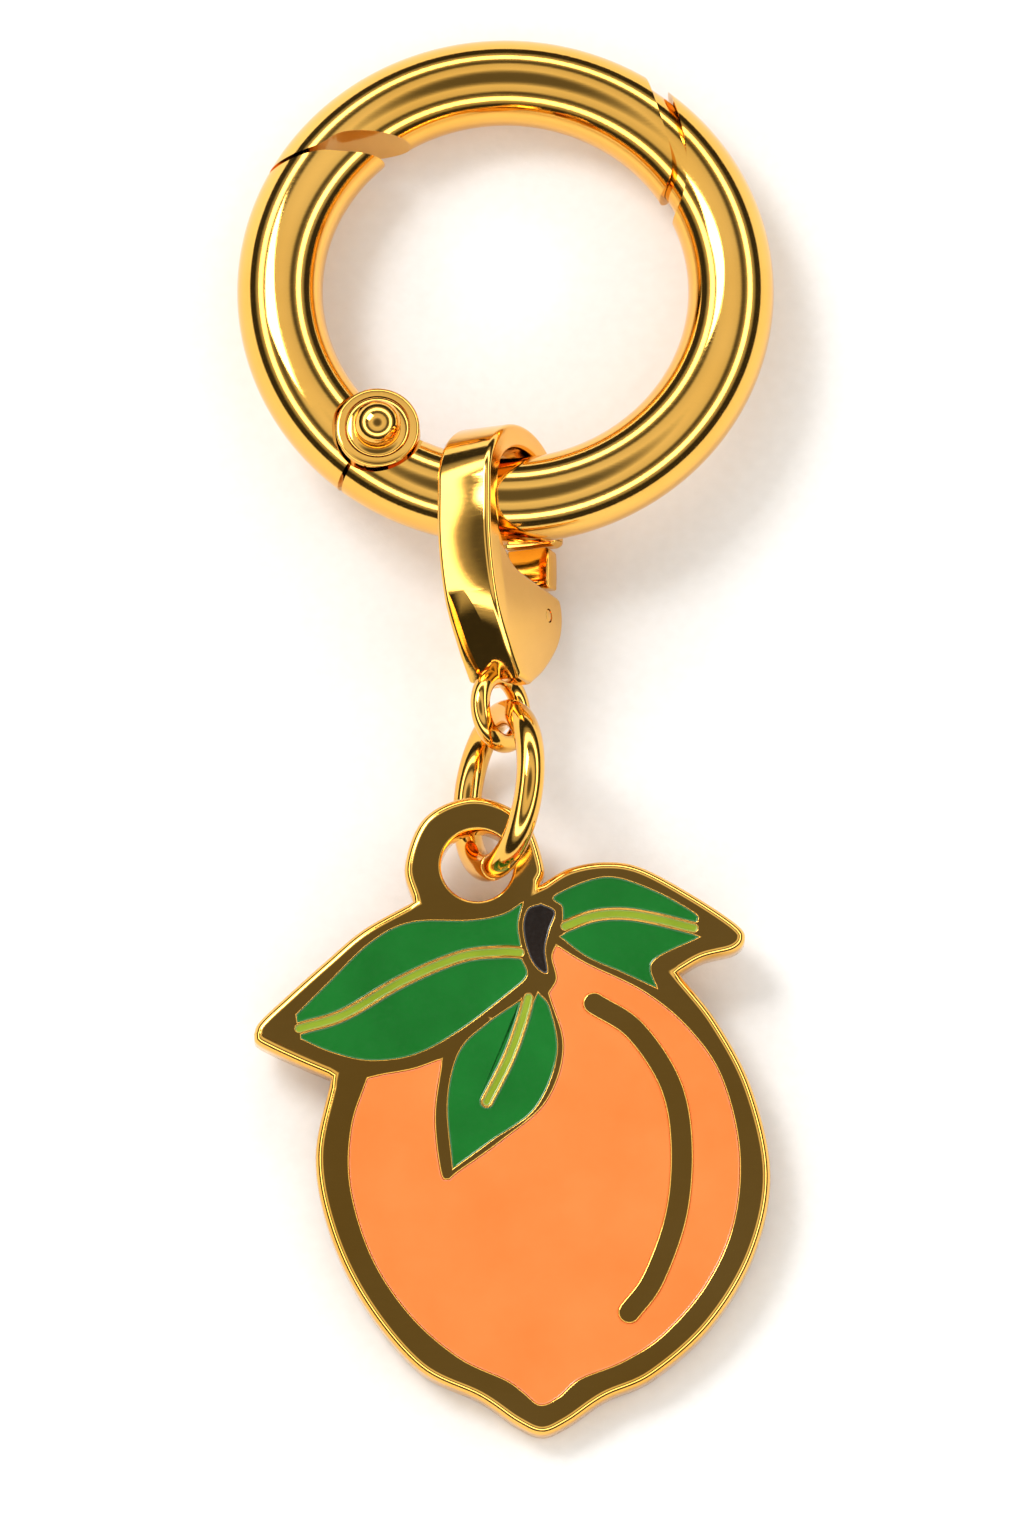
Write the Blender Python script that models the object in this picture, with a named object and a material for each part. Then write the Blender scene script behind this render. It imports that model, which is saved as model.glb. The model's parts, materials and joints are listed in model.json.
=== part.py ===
"""Peach bag charm: spring-gate ring, lobster clasp, jump ring and a flat enamel charm, lying on its back.

Everything is modelled in millimetres and placed in metres. +Y runs from the charm to the ring, +Z is up, and
the object rests on the plane z = 0.
"""

from math import cos, exp, pi, radians, sin

import bmesh
import bpy
from mathutils import Matrix, Vector

MM = 0.001

# Round spring-gate ring. Its plane leans: the far side is on the table and the clasp holds the near side up.
RING_CENTRE = (0.0, 23.39, 3.46)
RING_LEAN = 6.0
RING_RADIUS = 11.77
TUBE_RADIUS = 2.24
TUBE_SIDES = 20
DEGREES_PER_STEP = 7.5

PIVOT_ANGLE = 232.0
PIVOT_RADIUS = 10.8
PIVOT = (PIVOT_RADIUS * cos(radians(PIVOT_ANGLE)), PIVOT_RADIUS * sin(radians(PIVOT_ANGLE)))
KNUCKLE_RADIUS = 2.22
KNUCKLE_HALF_HEIGHT = 2.3
KNUCKLE_SLOT_RADIUS = 2.5
KNUCKLE_SLOT = (-1.1, 1.1)
GATE_RELIEF_RADIUS = 2.36
TONGUE = (-1.05, 0.2)
TONGUE_HALF_WIDTH = 1.48
TONGUE_REACH = 19.0
RIVET_RADIUS = 0.7
RIVET_HOLE_RADIUS = 0.73
HEAD_RADIUS = 1.22
WASHER_RADIUS = 1.68
WASHER_POCKET_RADIUS = 1.72
WASHER_THICKNESS = 0.42
WASHER_POCKET_DEPTH = 0.3
RIVET_GAP = 0.02
WASHER_SEAT = KNUCKLE_HALF_HEIGHT - WASHER_POCKET_DEPTH + RIVET_GAP
HEAD_NECK = 0.42
HEAD_HEIGHT = 0.976
THROUGH_TUBE = ((0, -4.0), (0, 4.0))
SPRING_COIL_RADIUS = 1.05
SPRING_WIRE = 0.12

# The seam at the gate's nose runs round the pivot, from outside the ring to its opening, and has one step.
GATE_NOSE_RADIUS = 15.9
TOP_ARC_NOSE_RADIUS = 16.15
NOSE_SEAM = (126.0, 72.0)
NOSE_STEP_ANGLE = 99.0
NOSE_STEP_SHARPNESS = 0.9
GATE_STEP = -0.25
TOP_ARC_STEP = 0.6

# The fixed seam at the upper right, on each side of the pin that joins the two lengths of tube.
SPIGOT_RADIUS = 1.85
SPIGOT_GAP = 0.03
SPIGOT_ARC = (17.3, 69.7)
BODY_SEAM = ((7.9, 12.9), (8.44, 11.35), (9.0, 9.4), (9.4, 7.5), (9.45, 5.9), (9.2, 4.6), (8.2, 3.1))
TOP_ARC_SEAM = (
    (7.0, 12.9),
    (7.42, 11.45),
    (8.0, 9.4),
    (8.5, 7.7),
    (8.7, 6.4),
    (8.5, 5.6),
    (7.7, 4.9),
    (6.0, 4.4),
)

# Lobster clasp. In its own frame x runs towards the hook, y towards the spine and z across the cheeks.
CLASP_ORIGIN = (-0.25, 10.85, 4.8)
CLASP_LEAN = 25.0
CLASP_THICKNESS = 3.0
HOOK_MIDDLE = 0.9
HOOK_INSIDE = (2.45, 3.4)
HOOK_OUTSIDE = (3.75, 4.7)
HOOK_TIP = -0.8
CLASP_SPINE = ((0.9, 4.7), (-2.2, 4.65), (-5.3, 3.8), (-7.5, 2.2), (-9.0, 0.75))
CLASP_BELLY = ((-9.0, -0.75), (-7.9, -2.4), (-6.3, -4.0), (-4.9, -4.55), (-3.7, -4.25), (-3.5, -3.3))
CLASP_THROAT = ((-3.5, -3.3), (-3.35, -1.0), (-3.0, 1.6), (-1.6, 3.15), (0.9, 3.4))
CLASP_BEVEL = 0.4
EYE_CENTRE = -10.41
EYE_RADIUS = 1.75
EYE_WIRE = 0.52
EYE_TURN = -12.0
LEVER_PIVOT = (-4.85, -2.75)
LEVER_SLOT = (-0.75, 0.75)
LEVER_PIN_RADIUS = 0.34
PIN_GAP = 0.03
LEVER_COIL_RADIUS = 0.56
LEVER_SPRING_WIRE = 0.07

# Jump ring. Its plane stands on edge, leaning, with the right limb high and the left limb low.
JUMP_CENTRE = (-0.35, -3.81, 4.56)
JUMP_LEAN = 66.0
JUMP_YAW = 3.0
JUMP_RADIUS = 4.05
JUMP_WIRE = 0.74
JUMP_CUT = 1.6

# Flat charm. In its own frame x is to the right, y towards the bail and z through the plate from its back.
CHARM_ORIGIN = (-1.36, -7.58, 2.16)
CHARM_LEAN = 4.2
PLATE_THICKNESS = 1.9
PLATE_EDGE = ((0.25, 0), (0, 0.25), (0, 1.4), (0.13, 1.75), (0.45, PLATE_THICKNESS))
CELL_FLOOR = 1.35
ENAMEL_TOP = 1.82
ENAMEL_GAP = 0.03
VEIN_HALF_WIDTH = 0.2
VEIN_WALL = 0.13
CREASE_HALF_WIDTH = 0.6
BAIL_HOLE = (-0.1, 0.05)
BAIL_HOLE_RADIUS = 1.88
CURVE_STEPS = 3

# The charm's edge, as runs of points in millimetres that meet at corners.
LEFT_LEAF_TOP_EDGE = (
    (-11.65, -8.75),
    (-11.35, -8.1),
    (-10.0, -6.8),
    (-8.0, -4.98),
    (-6.0, -3.27),
    (-3.42, -1.8),
)
BAIL_EDGE = ((-3.42, -1.8), (-3.85, 0.1), (-2.8, 2.65), (-0.25, 3.7), (2.3, 2.65), (3.35, 0.1), (3.12, -0.95))
RIGHT_LEAF_TOP_EDGE = (
    (3.12, -0.95),
    (4.6, -0.05),
    (6.5, 0.3),
    (8.4, 0.0),
    (11.0, -1.4),
    (13.35, -3.0),
    (13.75, -3.8),
    (13.2, -4.45),
    (11.6, -4.88),
    (10.35, -5.6),
)
RIGHT_SIDE_EDGE = (
    (10.35, -5.6),
    (12.3, -8.1),
    (14.1, -11.6),
    (15.05, -16.1),
    (14.2, -20.3),
    (12.0, -24.0),
    (9.0, -26.7),
    (6.5, -27.85),
    (4.6, -29.15),
    (3.25, -29.7),
    (1.9, -29.15),
    (0.0, -27.85),
    (-3.1, -26.3),
    (-5.9, -22.95),
    (-7.7, -19.2),
    (-8.45, -15.2),
    (-7.65, -11.05),
)
LEFT_LEAF_BOTTOM_EDGE = ((-7.65, -11.05), (-9.3, -10.35), (-10.9, -9.6), (-11.55, -9.2), (-11.65, -8.75))

# Middle lines of the light green veins, and the edges of the leaf cells that they divide.
LEFT_VEIN = (
    (-9.3, -8.52),
    (-7.0, -7.8),
    (-4.0, -6.05),
    (-1.0, -4.77),
    (1.1, -4.5),
    (2.1, -4.53),
)
LEFT_UPPER_EDGE = ((2.15, -4.2), (2.0, -3.1), (2.25, -1.92))
LEFT_UPPER_CREST = (
    (2.25, -1.92),
    (1.2, -2.55),
    (-0.5, -2.86),
    (-3.5, -2.95),
    (-5.6, -4.0),
    (-8.0, -6.35),
    (-9.45, -7.8),
)
LEFT_LOWER_EDGE = (
    (-9.2, -9.05),
    (-7.6, -9.75),
    (-5.6, -10.18),
    (-3.3, -9.85),
    (-1.0, -8.6),
    (1.5, -6.67),
    (2.45, -5.75),
    (2.2, -4.9),
)
RIGHT_VEIN = ((4.45, -3.15), (5.9, -2.62), (7.4, -2.5), (9.0, -2.73), (11.1, -3.25))
RIGHT_UPPER_EDGE = (
    (11.3, -2.88),
    (11.1, -2.45),
    (8.9, -1.23),
    (6.5, -0.58),
    (3.95, -1.54),
    (4.3, -2.1),
    (4.35, -2.75),
)
RIGHT_LOWER_EDGE = ((4.2, -3.7), (5.6, -4.75), (7.4, -5.55), (9.2, -6.4))
RIGHT_LOWER_TIP = ((9.2, -6.4), (8.85, -5.4), (9.3, -4.72), (11.4, -3.72))
MIDDLE_VEIN = ((2.55, -6.9), (2.2, -8.2), (1.5, -10.15), (0.4, -12.35))
MIDDLE_LEFT_EDGE = ((2.15, -7.05), (0.3, -8.35), (-1.05, -9.8), (-1.62, -12.4), (-1.35, -15.85))
MIDDLE_RIGHT_EDGE = ((-1.35, -15.85), (0.6, -14.4), (2.9, -12.67), (4.0, -9.9), (3.65, -7.5), (3.05, -6.65))
STEM_EDGE = (
    (3.2, -1.99),
    (3.9, -2.4),
    (3.6, -3.4),
    (3.4, -4.4),
    (3.5, -5.6),
    (2.75, -5.0),
    (2.3, -3.4),
    (2.5, -2.3),
    (3.2, -1.99),
)

# The peach cell, whose top follows the leaves, and the raised crease inside it.
PEACH_RIGHT_EDGE = (
    (4.0, -4.2),
    (5.5, -5.13),
    (8.5, -6.62),
    (10.8, -8.55),
    (12.5, -11.1),
    (13.4, -14.9),
    (13.1, -18.7),
    (11.7, -21.9),
    (9.5, -24.5),
    (7.4, -25.9),
    (5.2, -26.8),
    (4.1, -27.75),
    (3.15, -28.15),
    (2.3, -27.5),
    (1.4, -26.85),
    (-1.0, -25.7),
    (-3.5, -23.5),
    (-5.5, -20.45),
    (-6.6, -16.8),
    (-6.55, -13.7),
    (-5.75, -11.15),
)
PEACH_LEAF_EDGE = ((-5.75, -11.15), (-4.9, -10.95), (-3.4, -10.67), (-1.95, -10.15))
PEACH_MIDDLE_LEAF_EDGE = (
    (-1.95, -10.15),
    (-2.32, -13.1),
    (-2.02, -16.0),
    (-1.6, -16.45),
    (-1.0, -16.0),
    (1.2, -14.4),
    (3.5, -12.35),
    (4.4, -9.5),
    (3.65, -6.67),
)
PEACH_STEM_EDGE = ((3.65, -6.67), (4.05, -5.9), (3.82, -4.8), (4.0, -4.2))
CREASE = (
    (5.95, -7.2),
    (8.05, -8.6),
    (9.85, -11.35),
    (10.45, -14.4),
    (10.2, -18.15),
    (9.0, -21.6),
    (7.75, -23.35),
)


# Curves and outlines


def smooth_run(points, steps=CURVE_STEPS):
    """Points of a Catmull-Rom curve through the given ones, from the first to the last."""
    points = [Vector(point) for point in points]
    padded = [2 * points[0] - points[1], *points, 2 * points[-1] - points[-2]]
    curve = []
    for start, a, b, end in zip(padded, padded[1:], padded[2:], padded[3:]):
        for step in range(steps):
            t = step / steps
            bend = 2 * start - 5 * a + 4 * b - end
            twist = 3 * a - start - 3 * b + end
            curve.append(0.5 * (2 * a + (b - start) * t + bend * t * t + twist * t**3))
    curve.append(points[-1])
    return curve


def joined(*runs):
    """One closed loop, anticlockwise, from runs that each start where the one before ends."""
    loop = []
    for run in runs:
        loop.extend(point for point in run if not loop or (point - loop[-1]).length > 0.01)
    if (loop[0] - loop[-1]).length < 0.01:
        loop.pop()
    area = sum(a.cross(b) for a, b in zip(loop, loop[1:] + loop[:1]))
    return loop if area > 0 else loop[::-1]


def beside(points, distance, steps=CURVE_STEPS):
    """The smooth run through the points, moved to its left by a distance."""
    curve = smooth_run(points, steps)
    moved = []
    for index, point in enumerate(curve):
        before = curve[max(index - 1, 0)]
        after = curve[min(index + 1, len(curve) - 1)]
        along = (after - before).normalized()
        moved.append(point + distance * Vector((-along.y, along.x)))
    return moved


def end_arc(middle, start, sweep, steps=5):
    """The inner points of an arc about the middle that begins at the start point."""
    arm = start - middle
    return [
        middle + Matrix.Rotation(radians(sweep) * step / steps, 2) @ arm for step in range(1, steps)
    ]


def ribbon(points, half_width):
    """A band of even width along the smooth run, with round ends."""
    left = beside(points, half_width)
    right = beside(points, -half_width)
    first, last = Vector(points[0]), Vector(points[-1])
    return joined(left, end_arc(last, left[-1], -180), right[::-1], end_arc(first, right[0], -180))


def circle(middle, radius, steps=32):
    return [Vector(middle) + radius * direction(360 * step / steps) for step in range(steps)]


def direction(degrees):
    return Vector((cos(radians(degrees)), sin(radians(degrees))))


def inset(loop, distance):
    """The anticlockwise loop moved inwards by a distance, with mitred corners."""
    moved = []
    for before, point, after in zip(loop[-1:] + loop[:-1], loop, loop[1:] + loop[:1]):
        into = (point - before).normalized()
        out = (after - point).normalized()
        normal = Vector((-into.y - out.y, into.x + out.x)).normalized()
        shortening = max(0.5, -normal.x * into.y + normal.y * into.x)
        moved.append(point + distance / shortening * normal)
    return moved


# Meshes and objects


def add_slab(bm, loop, levels):
    """A solid from an outline: levels are (inset, height) pairs from its bottom to its top."""
    rings = []
    for distance, height in levels:
        ring = [bm.verts.new((p.x * MM, p.y * MM, height * MM)) for p in inset(loop, distance)]
        rings.append(ring)
    count = len(loop)
    for low, high in zip(rings, rings[1:]):
        for a in range(count):
            b = (a + 1) % count
            bm.faces.new((low[a], low[b], high[b], high[a]))
    bm.faces.new(rings[0][::-1])
    bm.faces.new(rings[-1])


def add_lathe(bm, profile, middle=(0.0, 0.0), steps=24):
    """A solid turned about z through the middle. Its (radius, height) pairs run upwards."""
    rings = []
    for radius, height in profile:
        if radius == 0:
            rings.append([bm.verts.new((middle[0] * MM, middle[1] * MM, height * MM))])
            continue
        points = circle(middle, radius, steps)
        rings.append([bm.verts.new((p.x * MM, p.y * MM, height * MM)) for p in points])
    for low, high in zip(rings, rings[1:]):
        for a in range(steps):
            b = (a + 1) % steps
            corners = [low[a % len(low)], low[b % len(low)], high[b % len(high)], high[a % len(high)]]
            bm.faces.new(list(dict.fromkeys(corners)))


def add_tube(bm, path, radius, sides, axis=(0, 0, 1), closed=False):
    """A round tube along the path. The axis is a direction that the path never runs along."""
    path = [Vector(point) for point in path]
    rings = []
    for index, point in enumerate(path):
        before = path[index - 1] if index or closed else point
        after = path[(index + 1) % len(path)] if index < len(path) - 1 or closed else point
        along = (after - before).normalized()
        side = along.cross(Vector(axis)).normalized()
        up = side.cross(along)
        ring = []
        for step in range(sides):
            turn = 2 * pi * step / sides
            ring.append(bm.verts.new(MM * (point + radius * (cos(turn) * side + sin(turn) * up))))
        rings.append(ring)
    spans = list(zip(rings, rings[1:]))
    if closed:
        spans.append((rings[-1], rings[0]))
    for start, end in spans:
        for a in range(sides):
            b = (a + 1) % sides
            bm.faces.new((start[a], start[b], end[b], end[a]))
    if not closed:
        bm.faces.new(rings[0][::-1])
        bm.faces.new(rings[-1])


def arc_path(radius, start, end, step=DEGREES_PER_STEP):
    count = max(2, round((end - start) / step))
    angles = [start + (end - start) * index / count for index in range(count + 1)]
    return [Vector((*(radius * direction(angle)), 0)) for angle in angles]


def helix_path(middle, radius, heights, turns, steps_per_turn=12):
    count = round(turns * steps_per_turn)
    path = []
    for index in range(count + 1):
        point = Vector(middle) + radius * direction(360 * turns * index / count)
        path.append(Vector((*point, heights[0] + (heights[1] - heights[0]) * index / count)))
    return path


def new_material(name, colour, roughness, metallic=0.0):
    material = bpy.data.materials.new(name)
    material.use_nodes = True
    shader = material.node_tree.nodes["Principled BSDF"]
    shader.inputs["Base Color"].default_value = (*colour, 1.0)
    shader.inputs["Roughness"].default_value = roughness
    shader.inputs["Metallic"].default_value = metallic
    material.diffuse_color = (*colour, 1.0)
    return material


def new_object(name, bm, parent, material=None, smooth=True):
    bmesh.ops.recalc_face_normals(bm, faces=bm.faces)
    mesh = bpy.data.meshes.new(name)
    for face in bm.faces:
        face.smooth = smooth
    bm.to_mesh(mesh)
    bm.free()
    obj = bpy.data.objects.new(name, mesh)
    bpy.context.collection.objects.link(obj)
    obj.parent = parent
    if material:
        mesh.materials.append(material)
    return obj


def helper(name, bm, parent):
    """An object that only shapes others."""
    obj = new_object(name, bm, parent)
    obj.hide_render = True
    obj.display_type = "WIRE"
    return obj


def shape_with(obj, other, operation):
    modifier = obj.modifiers.new(other.name, "BOOLEAN")
    modifier.operation = operation
    modifier.solver = "EXACT"
    modifier.object = other


def cut(obj, *others):
    for other in others:
        shape_with(obj, other, "DIFFERENCE")


def fuse(obj, *others):
    for other in others:
        shape_with(obj, other, "UNION")


def slab_helper(name, loop, levels, parent):
    bm = bmesh.new()
    add_slab(bm, loop, levels)
    return helper(name, bm, parent)


def pin_helper(name, radius, heights, parent, middle):
    bm = bmesh.new()
    add_lathe(bm, ((0, heights[0]), (radius, heights[0]), (radius, heights[1]), (0, heights[1])), middle)
    return helper(name, bm, parent)


def new_frame(name, origin, columns):
    """An empty at the origin whose x, y and z axes are the given directions."""
    empty = bpy.data.objects.new(name, None)
    bpy.context.collection.objects.link(empty)
    turn = Matrix([Vector(column).normalized() for column in columns]).transposed()
    empty.matrix_world = Matrix.Translation(Vector(origin) * MM) @ turn.to_4x4()
    empty.empty_display_size = 5 * MM
    return empty


def lean_about_x(degrees):
    """The axes of a frame whose +Y end is raised by an angle."""
    rise = radians(degrees)
    return (1, 0, 0), (0, cos(rise), sin(rise)), (0, -sin(rise), cos(rise))


# Spring-gate ring


def gate_seam(lip, reach, degrees=4.0):
    """The seam at the gate's nose, as a curve about the pivot. It steps out by the lip on the way inwards."""
    curve = []
    angle, last = NOSE_SEAM
    while angle > last:
        past_step = angle - NOSE_STEP_ANGLE
        step_in = 1 / (1 + exp(past_step * NOSE_STEP_SHARPNESS))
        curve.append(Vector(PIVOT) + (reach + lip * step_in) * direction(angle))
        angle -= degrees if abs(past_step) > 2 * degrees else degrees / 2
    return curve


def build_ring(frame, gold):
    body = add_ring_body(frame, gold)
    top_arc = add_top_arc(frame, gold)

    start, end = SPIGOT_ARC
    bm = bmesh.new()
    add_tube(bm, arc_path(RING_RADIUS, start - 0.3, end + 0.3), SPIGOT_RADIUS + SPIGOT_GAP, 24)
    bore = helper("spigot_bore", bm, frame)
    cut(body, bore)
    cut(top_arc, bore)
    bm = bmesh.new()
    add_tube(bm, arc_path(RING_RADIUS, start, end), SPIGOT_RADIUS, 24)
    new_object("ring_joint_pin", bm, frame, gold)

    add_gate(frame, gold)
    add_rivet(frame, gold)
    add_washer(frame, gold)
    bm = bmesh.new()
    heights = (TONGUE[1] + 0.2, KNUCKLE_SLOT[1] - 0.2)
    add_tube(bm, helix_path(PIVOT, SPRING_COIL_RADIUS, heights, 2.5), SPRING_WIRE, 6)
    new_object("gate_spring", bm, frame, STEEL)


def add_ring_body(frame, gold):
    """The fixed length of tube, with the knuckle barrel at one end and its seam at the other."""
    bm = bmesh.new()
    add_tube(bm, arc_path(RING_RADIUS, PIVOT_ANGLE + 0.4, 420.0), TUBE_RADIUS, TUBE_SIDES)
    body = new_object("ring_body", bm, frame, gold)

    rounding = 0.25
    low, high = -KNUCKLE_HALF_HEIGHT, KNUCKLE_HALF_HEIGHT
    edge = KNUCKLE_RADIUS - rounding
    barrel = ((0, low), (edge, low), (KNUCKLE_RADIUS, low + rounding))
    barrel += ((KNUCKLE_RADIUS, high - rounding), (edge, high), (0, high))
    bm = bmesh.new()
    add_lathe(bm, barrel, PIVOT, 28)
    fuse(body, helper("knuckle_barrel", bm, frame))

    opening_side = [Vector(corner) for corner in ((2.0, 3.1), (2.0, 14.5), (7.7, 14.5))]
    waste = joined(smooth_run(BODY_SEAM), opening_side)
    cut(body, slab_helper("body_end_cut", waste, THROUGH_TUBE, frame))
    cut(body, pin_helper("knuckle_slot", KNUCKLE_SLOT_RADIUS, KNUCKLE_SLOT, frame, PIVOT))

    pocket = KNUCKLE_HALF_HEIGHT - WASHER_POCKET_DEPTH
    stepped = ((0, -4.0), (RIVET_HOLE_RADIUS, -4.0), (RIVET_HOLE_RADIUS, pocket))
    stepped += ((WASHER_POCKET_RADIUS, pocket), (WASHER_POCKET_RADIUS, 4.0), (0, 4.0))
    bm = bmesh.new()
    add_lathe(bm, stepped, PIVOT, 22)
    cut(body, helper("rivet_bore", bm, frame))
    return body


def add_top_arc(frame, gold):
    """The fixed length of tube between the gate's nose and the seam at the upper right."""
    bm = bmesh.new()
    add_tube(bm, arc_path(RING_RADIUS, 18.0, 153.0), TUBE_RADIUS, TUBE_SIDES)
    top_arc = new_object("ring_top_arc", bm, frame, gold)
    waste = joined(gate_seam(TOP_ARC_STEP, TOP_ARC_NOSE_RADIUS), [Vector(PIVOT)])
    cut(top_arc, slab_helper("nose_clearance", waste, THROUGH_TUBE, frame))
    far_side = [Vector(corner) for corner in ((6.0, -2.0), (16.0, -2.0), (16.0, 14.5), (6.8, 14.5))]
    waste = joined(smooth_run(TOP_ARC_SEAM), far_side)
    cut(top_arc, slab_helper("top_arc_end_cut", waste, THROUGH_TUBE, frame))
    return top_arc


def add_gate(frame, gold):
    """The length of tube that swings in, with a flat tongue in the knuckle's slot."""
    gate_frame = new_frame_under("gate_hinge", frame, PIVOT)
    bm = bmesh.new()
    add_tube(bm, arc_path(RING_RADIUS, 120.0, PIVOT_ANGLE - 0.4), TUBE_RADIUS, TUBE_SIDES)
    bmesh.ops.translate(bm, vec=(-PIVOT[0] * MM, -PIVOT[1] * MM, 0), verts=bm.verts)
    gate = new_object("ring_gate", bm, gate_frame, gold)
    far = [Vector(PIVOT) + 24 * direction(angle) for angle in (66.0, 80.0, 95.0, 110.0, 132.0)]
    waste = joined(gate_seam(GATE_STEP, GATE_NOSE_RADIUS), far)
    cut(gate, slab_helper("nose_cut", waste, THROUGH_TUBE, frame))
    cut(gate, pin_helper("knuckle_relief", GATE_RELIEF_RADIUS, (-4.0, 4.0), frame, PIVOT))

    neck_start = Vector(PIVOT)
    neck_end = RING_RADIUS * direction(PIVOT_ANGLE - TONGUE_REACH)
    neck = (tuple(neck_start), tuple((neck_start + neck_end) / 2), tuple(neck_end))
    bm = bmesh.new()
    add_slab(bm, ribbon(neck, TONGUE_HALF_WIDTH), ((0, TONGUE[0]), (0, TONGUE[1])))
    fuse(gate, helper("gate_tongue", bm, frame))
    cut(gate, pin_helper("gate_rivet_hole", RIVET_HOLE_RADIUS, (-3.0, 3.0), frame, PIVOT))


def new_frame_under(name, parent, place):
    empty = bpy.data.objects.new(name, None)
    bpy.context.collection.objects.link(empty)
    empty.parent = parent
    empty.location = (place[0] * MM, place[1] * MM, 0)
    empty.empty_display_size = 3 * MM
    return empty


def add_rivet(frame, gold):
    """A rivet through the knuckle, with a flat lower head and a dome on a short neck."""
    foot = -KNUCKLE_HALF_HEIGHT - RIVET_GAP
    dome_base = WASHER_SEAT + WASHER_THICKNESS + RIVET_GAP
    profile = [(0, foot - 0.3), (0.95, foot - 0.3), (1.15, foot - 0.12), (1.15, foot)]
    profile += [(RIVET_RADIUS, foot), (RIVET_RADIUS, dome_base), (HEAD_RADIUS * 0.86, dome_base)]
    for degrees in range(-25, 90, 22):
        rise = HEAD_NECK + HEAD_HEIGHT * sin(radians(degrees))
        profile.append((HEAD_RADIUS * cos(radians(degrees)), dome_base + rise))
    profile.append((0, dome_base + HEAD_NECK + HEAD_HEIGHT))
    bm = bmesh.new()
    add_lathe(bm, profile, PIVOT, 20)
    new_object("gate_rivet", bm, frame, gold)


def add_washer(frame, gold):
    """The collar that sits in the knuckle's pocket, under the rivet's dome."""
    half = (WASHER_RADIUS - RIVET_HOLE_RADIUS) / 2
    section = ((-half, 0), (half, 0), (half, WASHER_THICKNESS * 0.6), (half * 0.6, WASHER_THICKNESS))
    section += ((-half * 0.6, WASHER_THICKNESS), (-half, WASHER_THICKNESS * 0.6))
    bm = bmesh.new()
    rows = []
    for point in circle(PIVOT, RIVET_HOLE_RADIUS + half, 24):
        outward = (point - Vector(PIVOT)).normalized()
        row = [(*(point + outward * across), WASHER_SEAT + up) for across, up in section]
        rows.append([bm.verts.new(MM * Vector(corner)) for corner in row])
    for row, following in zip(rows, rows[1:] + rows[:1]):
        for a in range(len(section)):
            b = (a + 1) % len(section)
            bm.faces.new((row[a], row[b], following[b], following[a]))
    new_object("gate_washer", bm, frame, gold)


# Lobster clasp


def hook_arc(half_length, half_width, start, end, steps=14):
    arc = []
    for step in range(steps + 1):
        turn = radians(start + (end - start) * step / steps)
        arc.append(Vector((HOOK_MIDDLE + half_length * cos(turn), half_width * sin(turn))))
    return arc


def clasp_outline():
    outside = hook_arc(*HOOK_OUTSIDE, -90, 90)
    spine = smooth_run(CLASP_SPINE)
    belly = smooth_run(CLASP_BELLY)
    throat = smooth_run(CLASP_THROAT)
    inside = hook_arc(*HOOK_INSIDE, 90, -90)
    tip = [Vector((HOOK_TIP + 0.2, -3.4)), Vector((HOOK_TIP, -3.6)), Vector((HOOK_TIP, -4.4))]
    tip += [Vector((HOOK_TIP + 0.25, -4.68))]
    return joined(outside, spine, belly, throat, inside, tip)


def build_clasp(frame, gold):
    half = CLASP_THICKNESS / 2
    chamfer = ((CLASP_BEVEL, half), (CLASP_BEVEL * 0.3, half - CLASP_BEVEL * 0.3), (0, half - CLASP_BEVEL))
    levels = [(distance, -height) for distance, height in chamfer]
    levels += chamfer[::-1]
    bm = bmesh.new()
    add_slab(bm, clasp_outline(), levels)
    body = new_object("clasp_body", bm, frame, gold)

    bm = bmesh.new()
    path = [Vector((*(EYE_RADIUS * direction(angle)), 0)) for angle in range(0, 360, 15)]
    add_tube(bm, path, EYE_WIRE, 12, closed=True)
    turn = Matrix.Rotation(radians(EYE_TURN), 4, "X")
    bmesh.ops.transform(bm, matrix=Matrix.Translation((EYE_CENTRE * MM, 0, 0)) @ turn, verts=bm.verts)
    fuse(body, helper("clasp_eye", bm, frame))

    slot_edge = smooth_run(((-2.9, -2.2), (-4.2, -1.2), (-6.0, -1.7), (-6.6, -3.0), (-6.2, -4.7)))
    slot = joined(slot_edge, [Vector((-4.9, -5.4)), Vector((-2.9, -5.2))])
    cut(body, slab_helper("lever_slot", slot, ((0, LEVER_SLOT[0]), (0, LEVER_SLOT[1])), frame))
    recess = smooth_run(((-4.1, 4.0), (-5.6, 2.6), (-7.9, 1.0), (-8.3, 2.2), (-6.4, 4.6), (-4.1, 4.0)))
    cut(body, slab_helper("spine_recess", joined(recess), ((0, -1.05), (0, 0.45)), frame))
    bore = LEVER_PIN_RADIUS + PIN_GAP
    cut(body, pin_helper("lever_pin_bore", bore, (-3.0, 3.0), frame, LEVER_PIVOT))

    add_lever(frame, gold, bore)
    pin_end = half - 0.02
    rod = ((0, -pin_end), (LEVER_PIN_RADIUS, -pin_end), (LEVER_PIN_RADIUS, pin_end), (0, pin_end))
    bm = bmesh.new()
    add_lathe(bm, rod, LEVER_PIVOT, 16)
    new_object("lever_pin", bm, frame, gold)
    bm = bmesh.new()
    add_tube(bm, helix_path(LEVER_PIVOT, LEVER_COIL_RADIUS, (0.33, 0.63), 2.25), LEVER_SPRING_WIRE, 6)
    new_object("lever_spring", bm, frame, STEEL)


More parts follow.
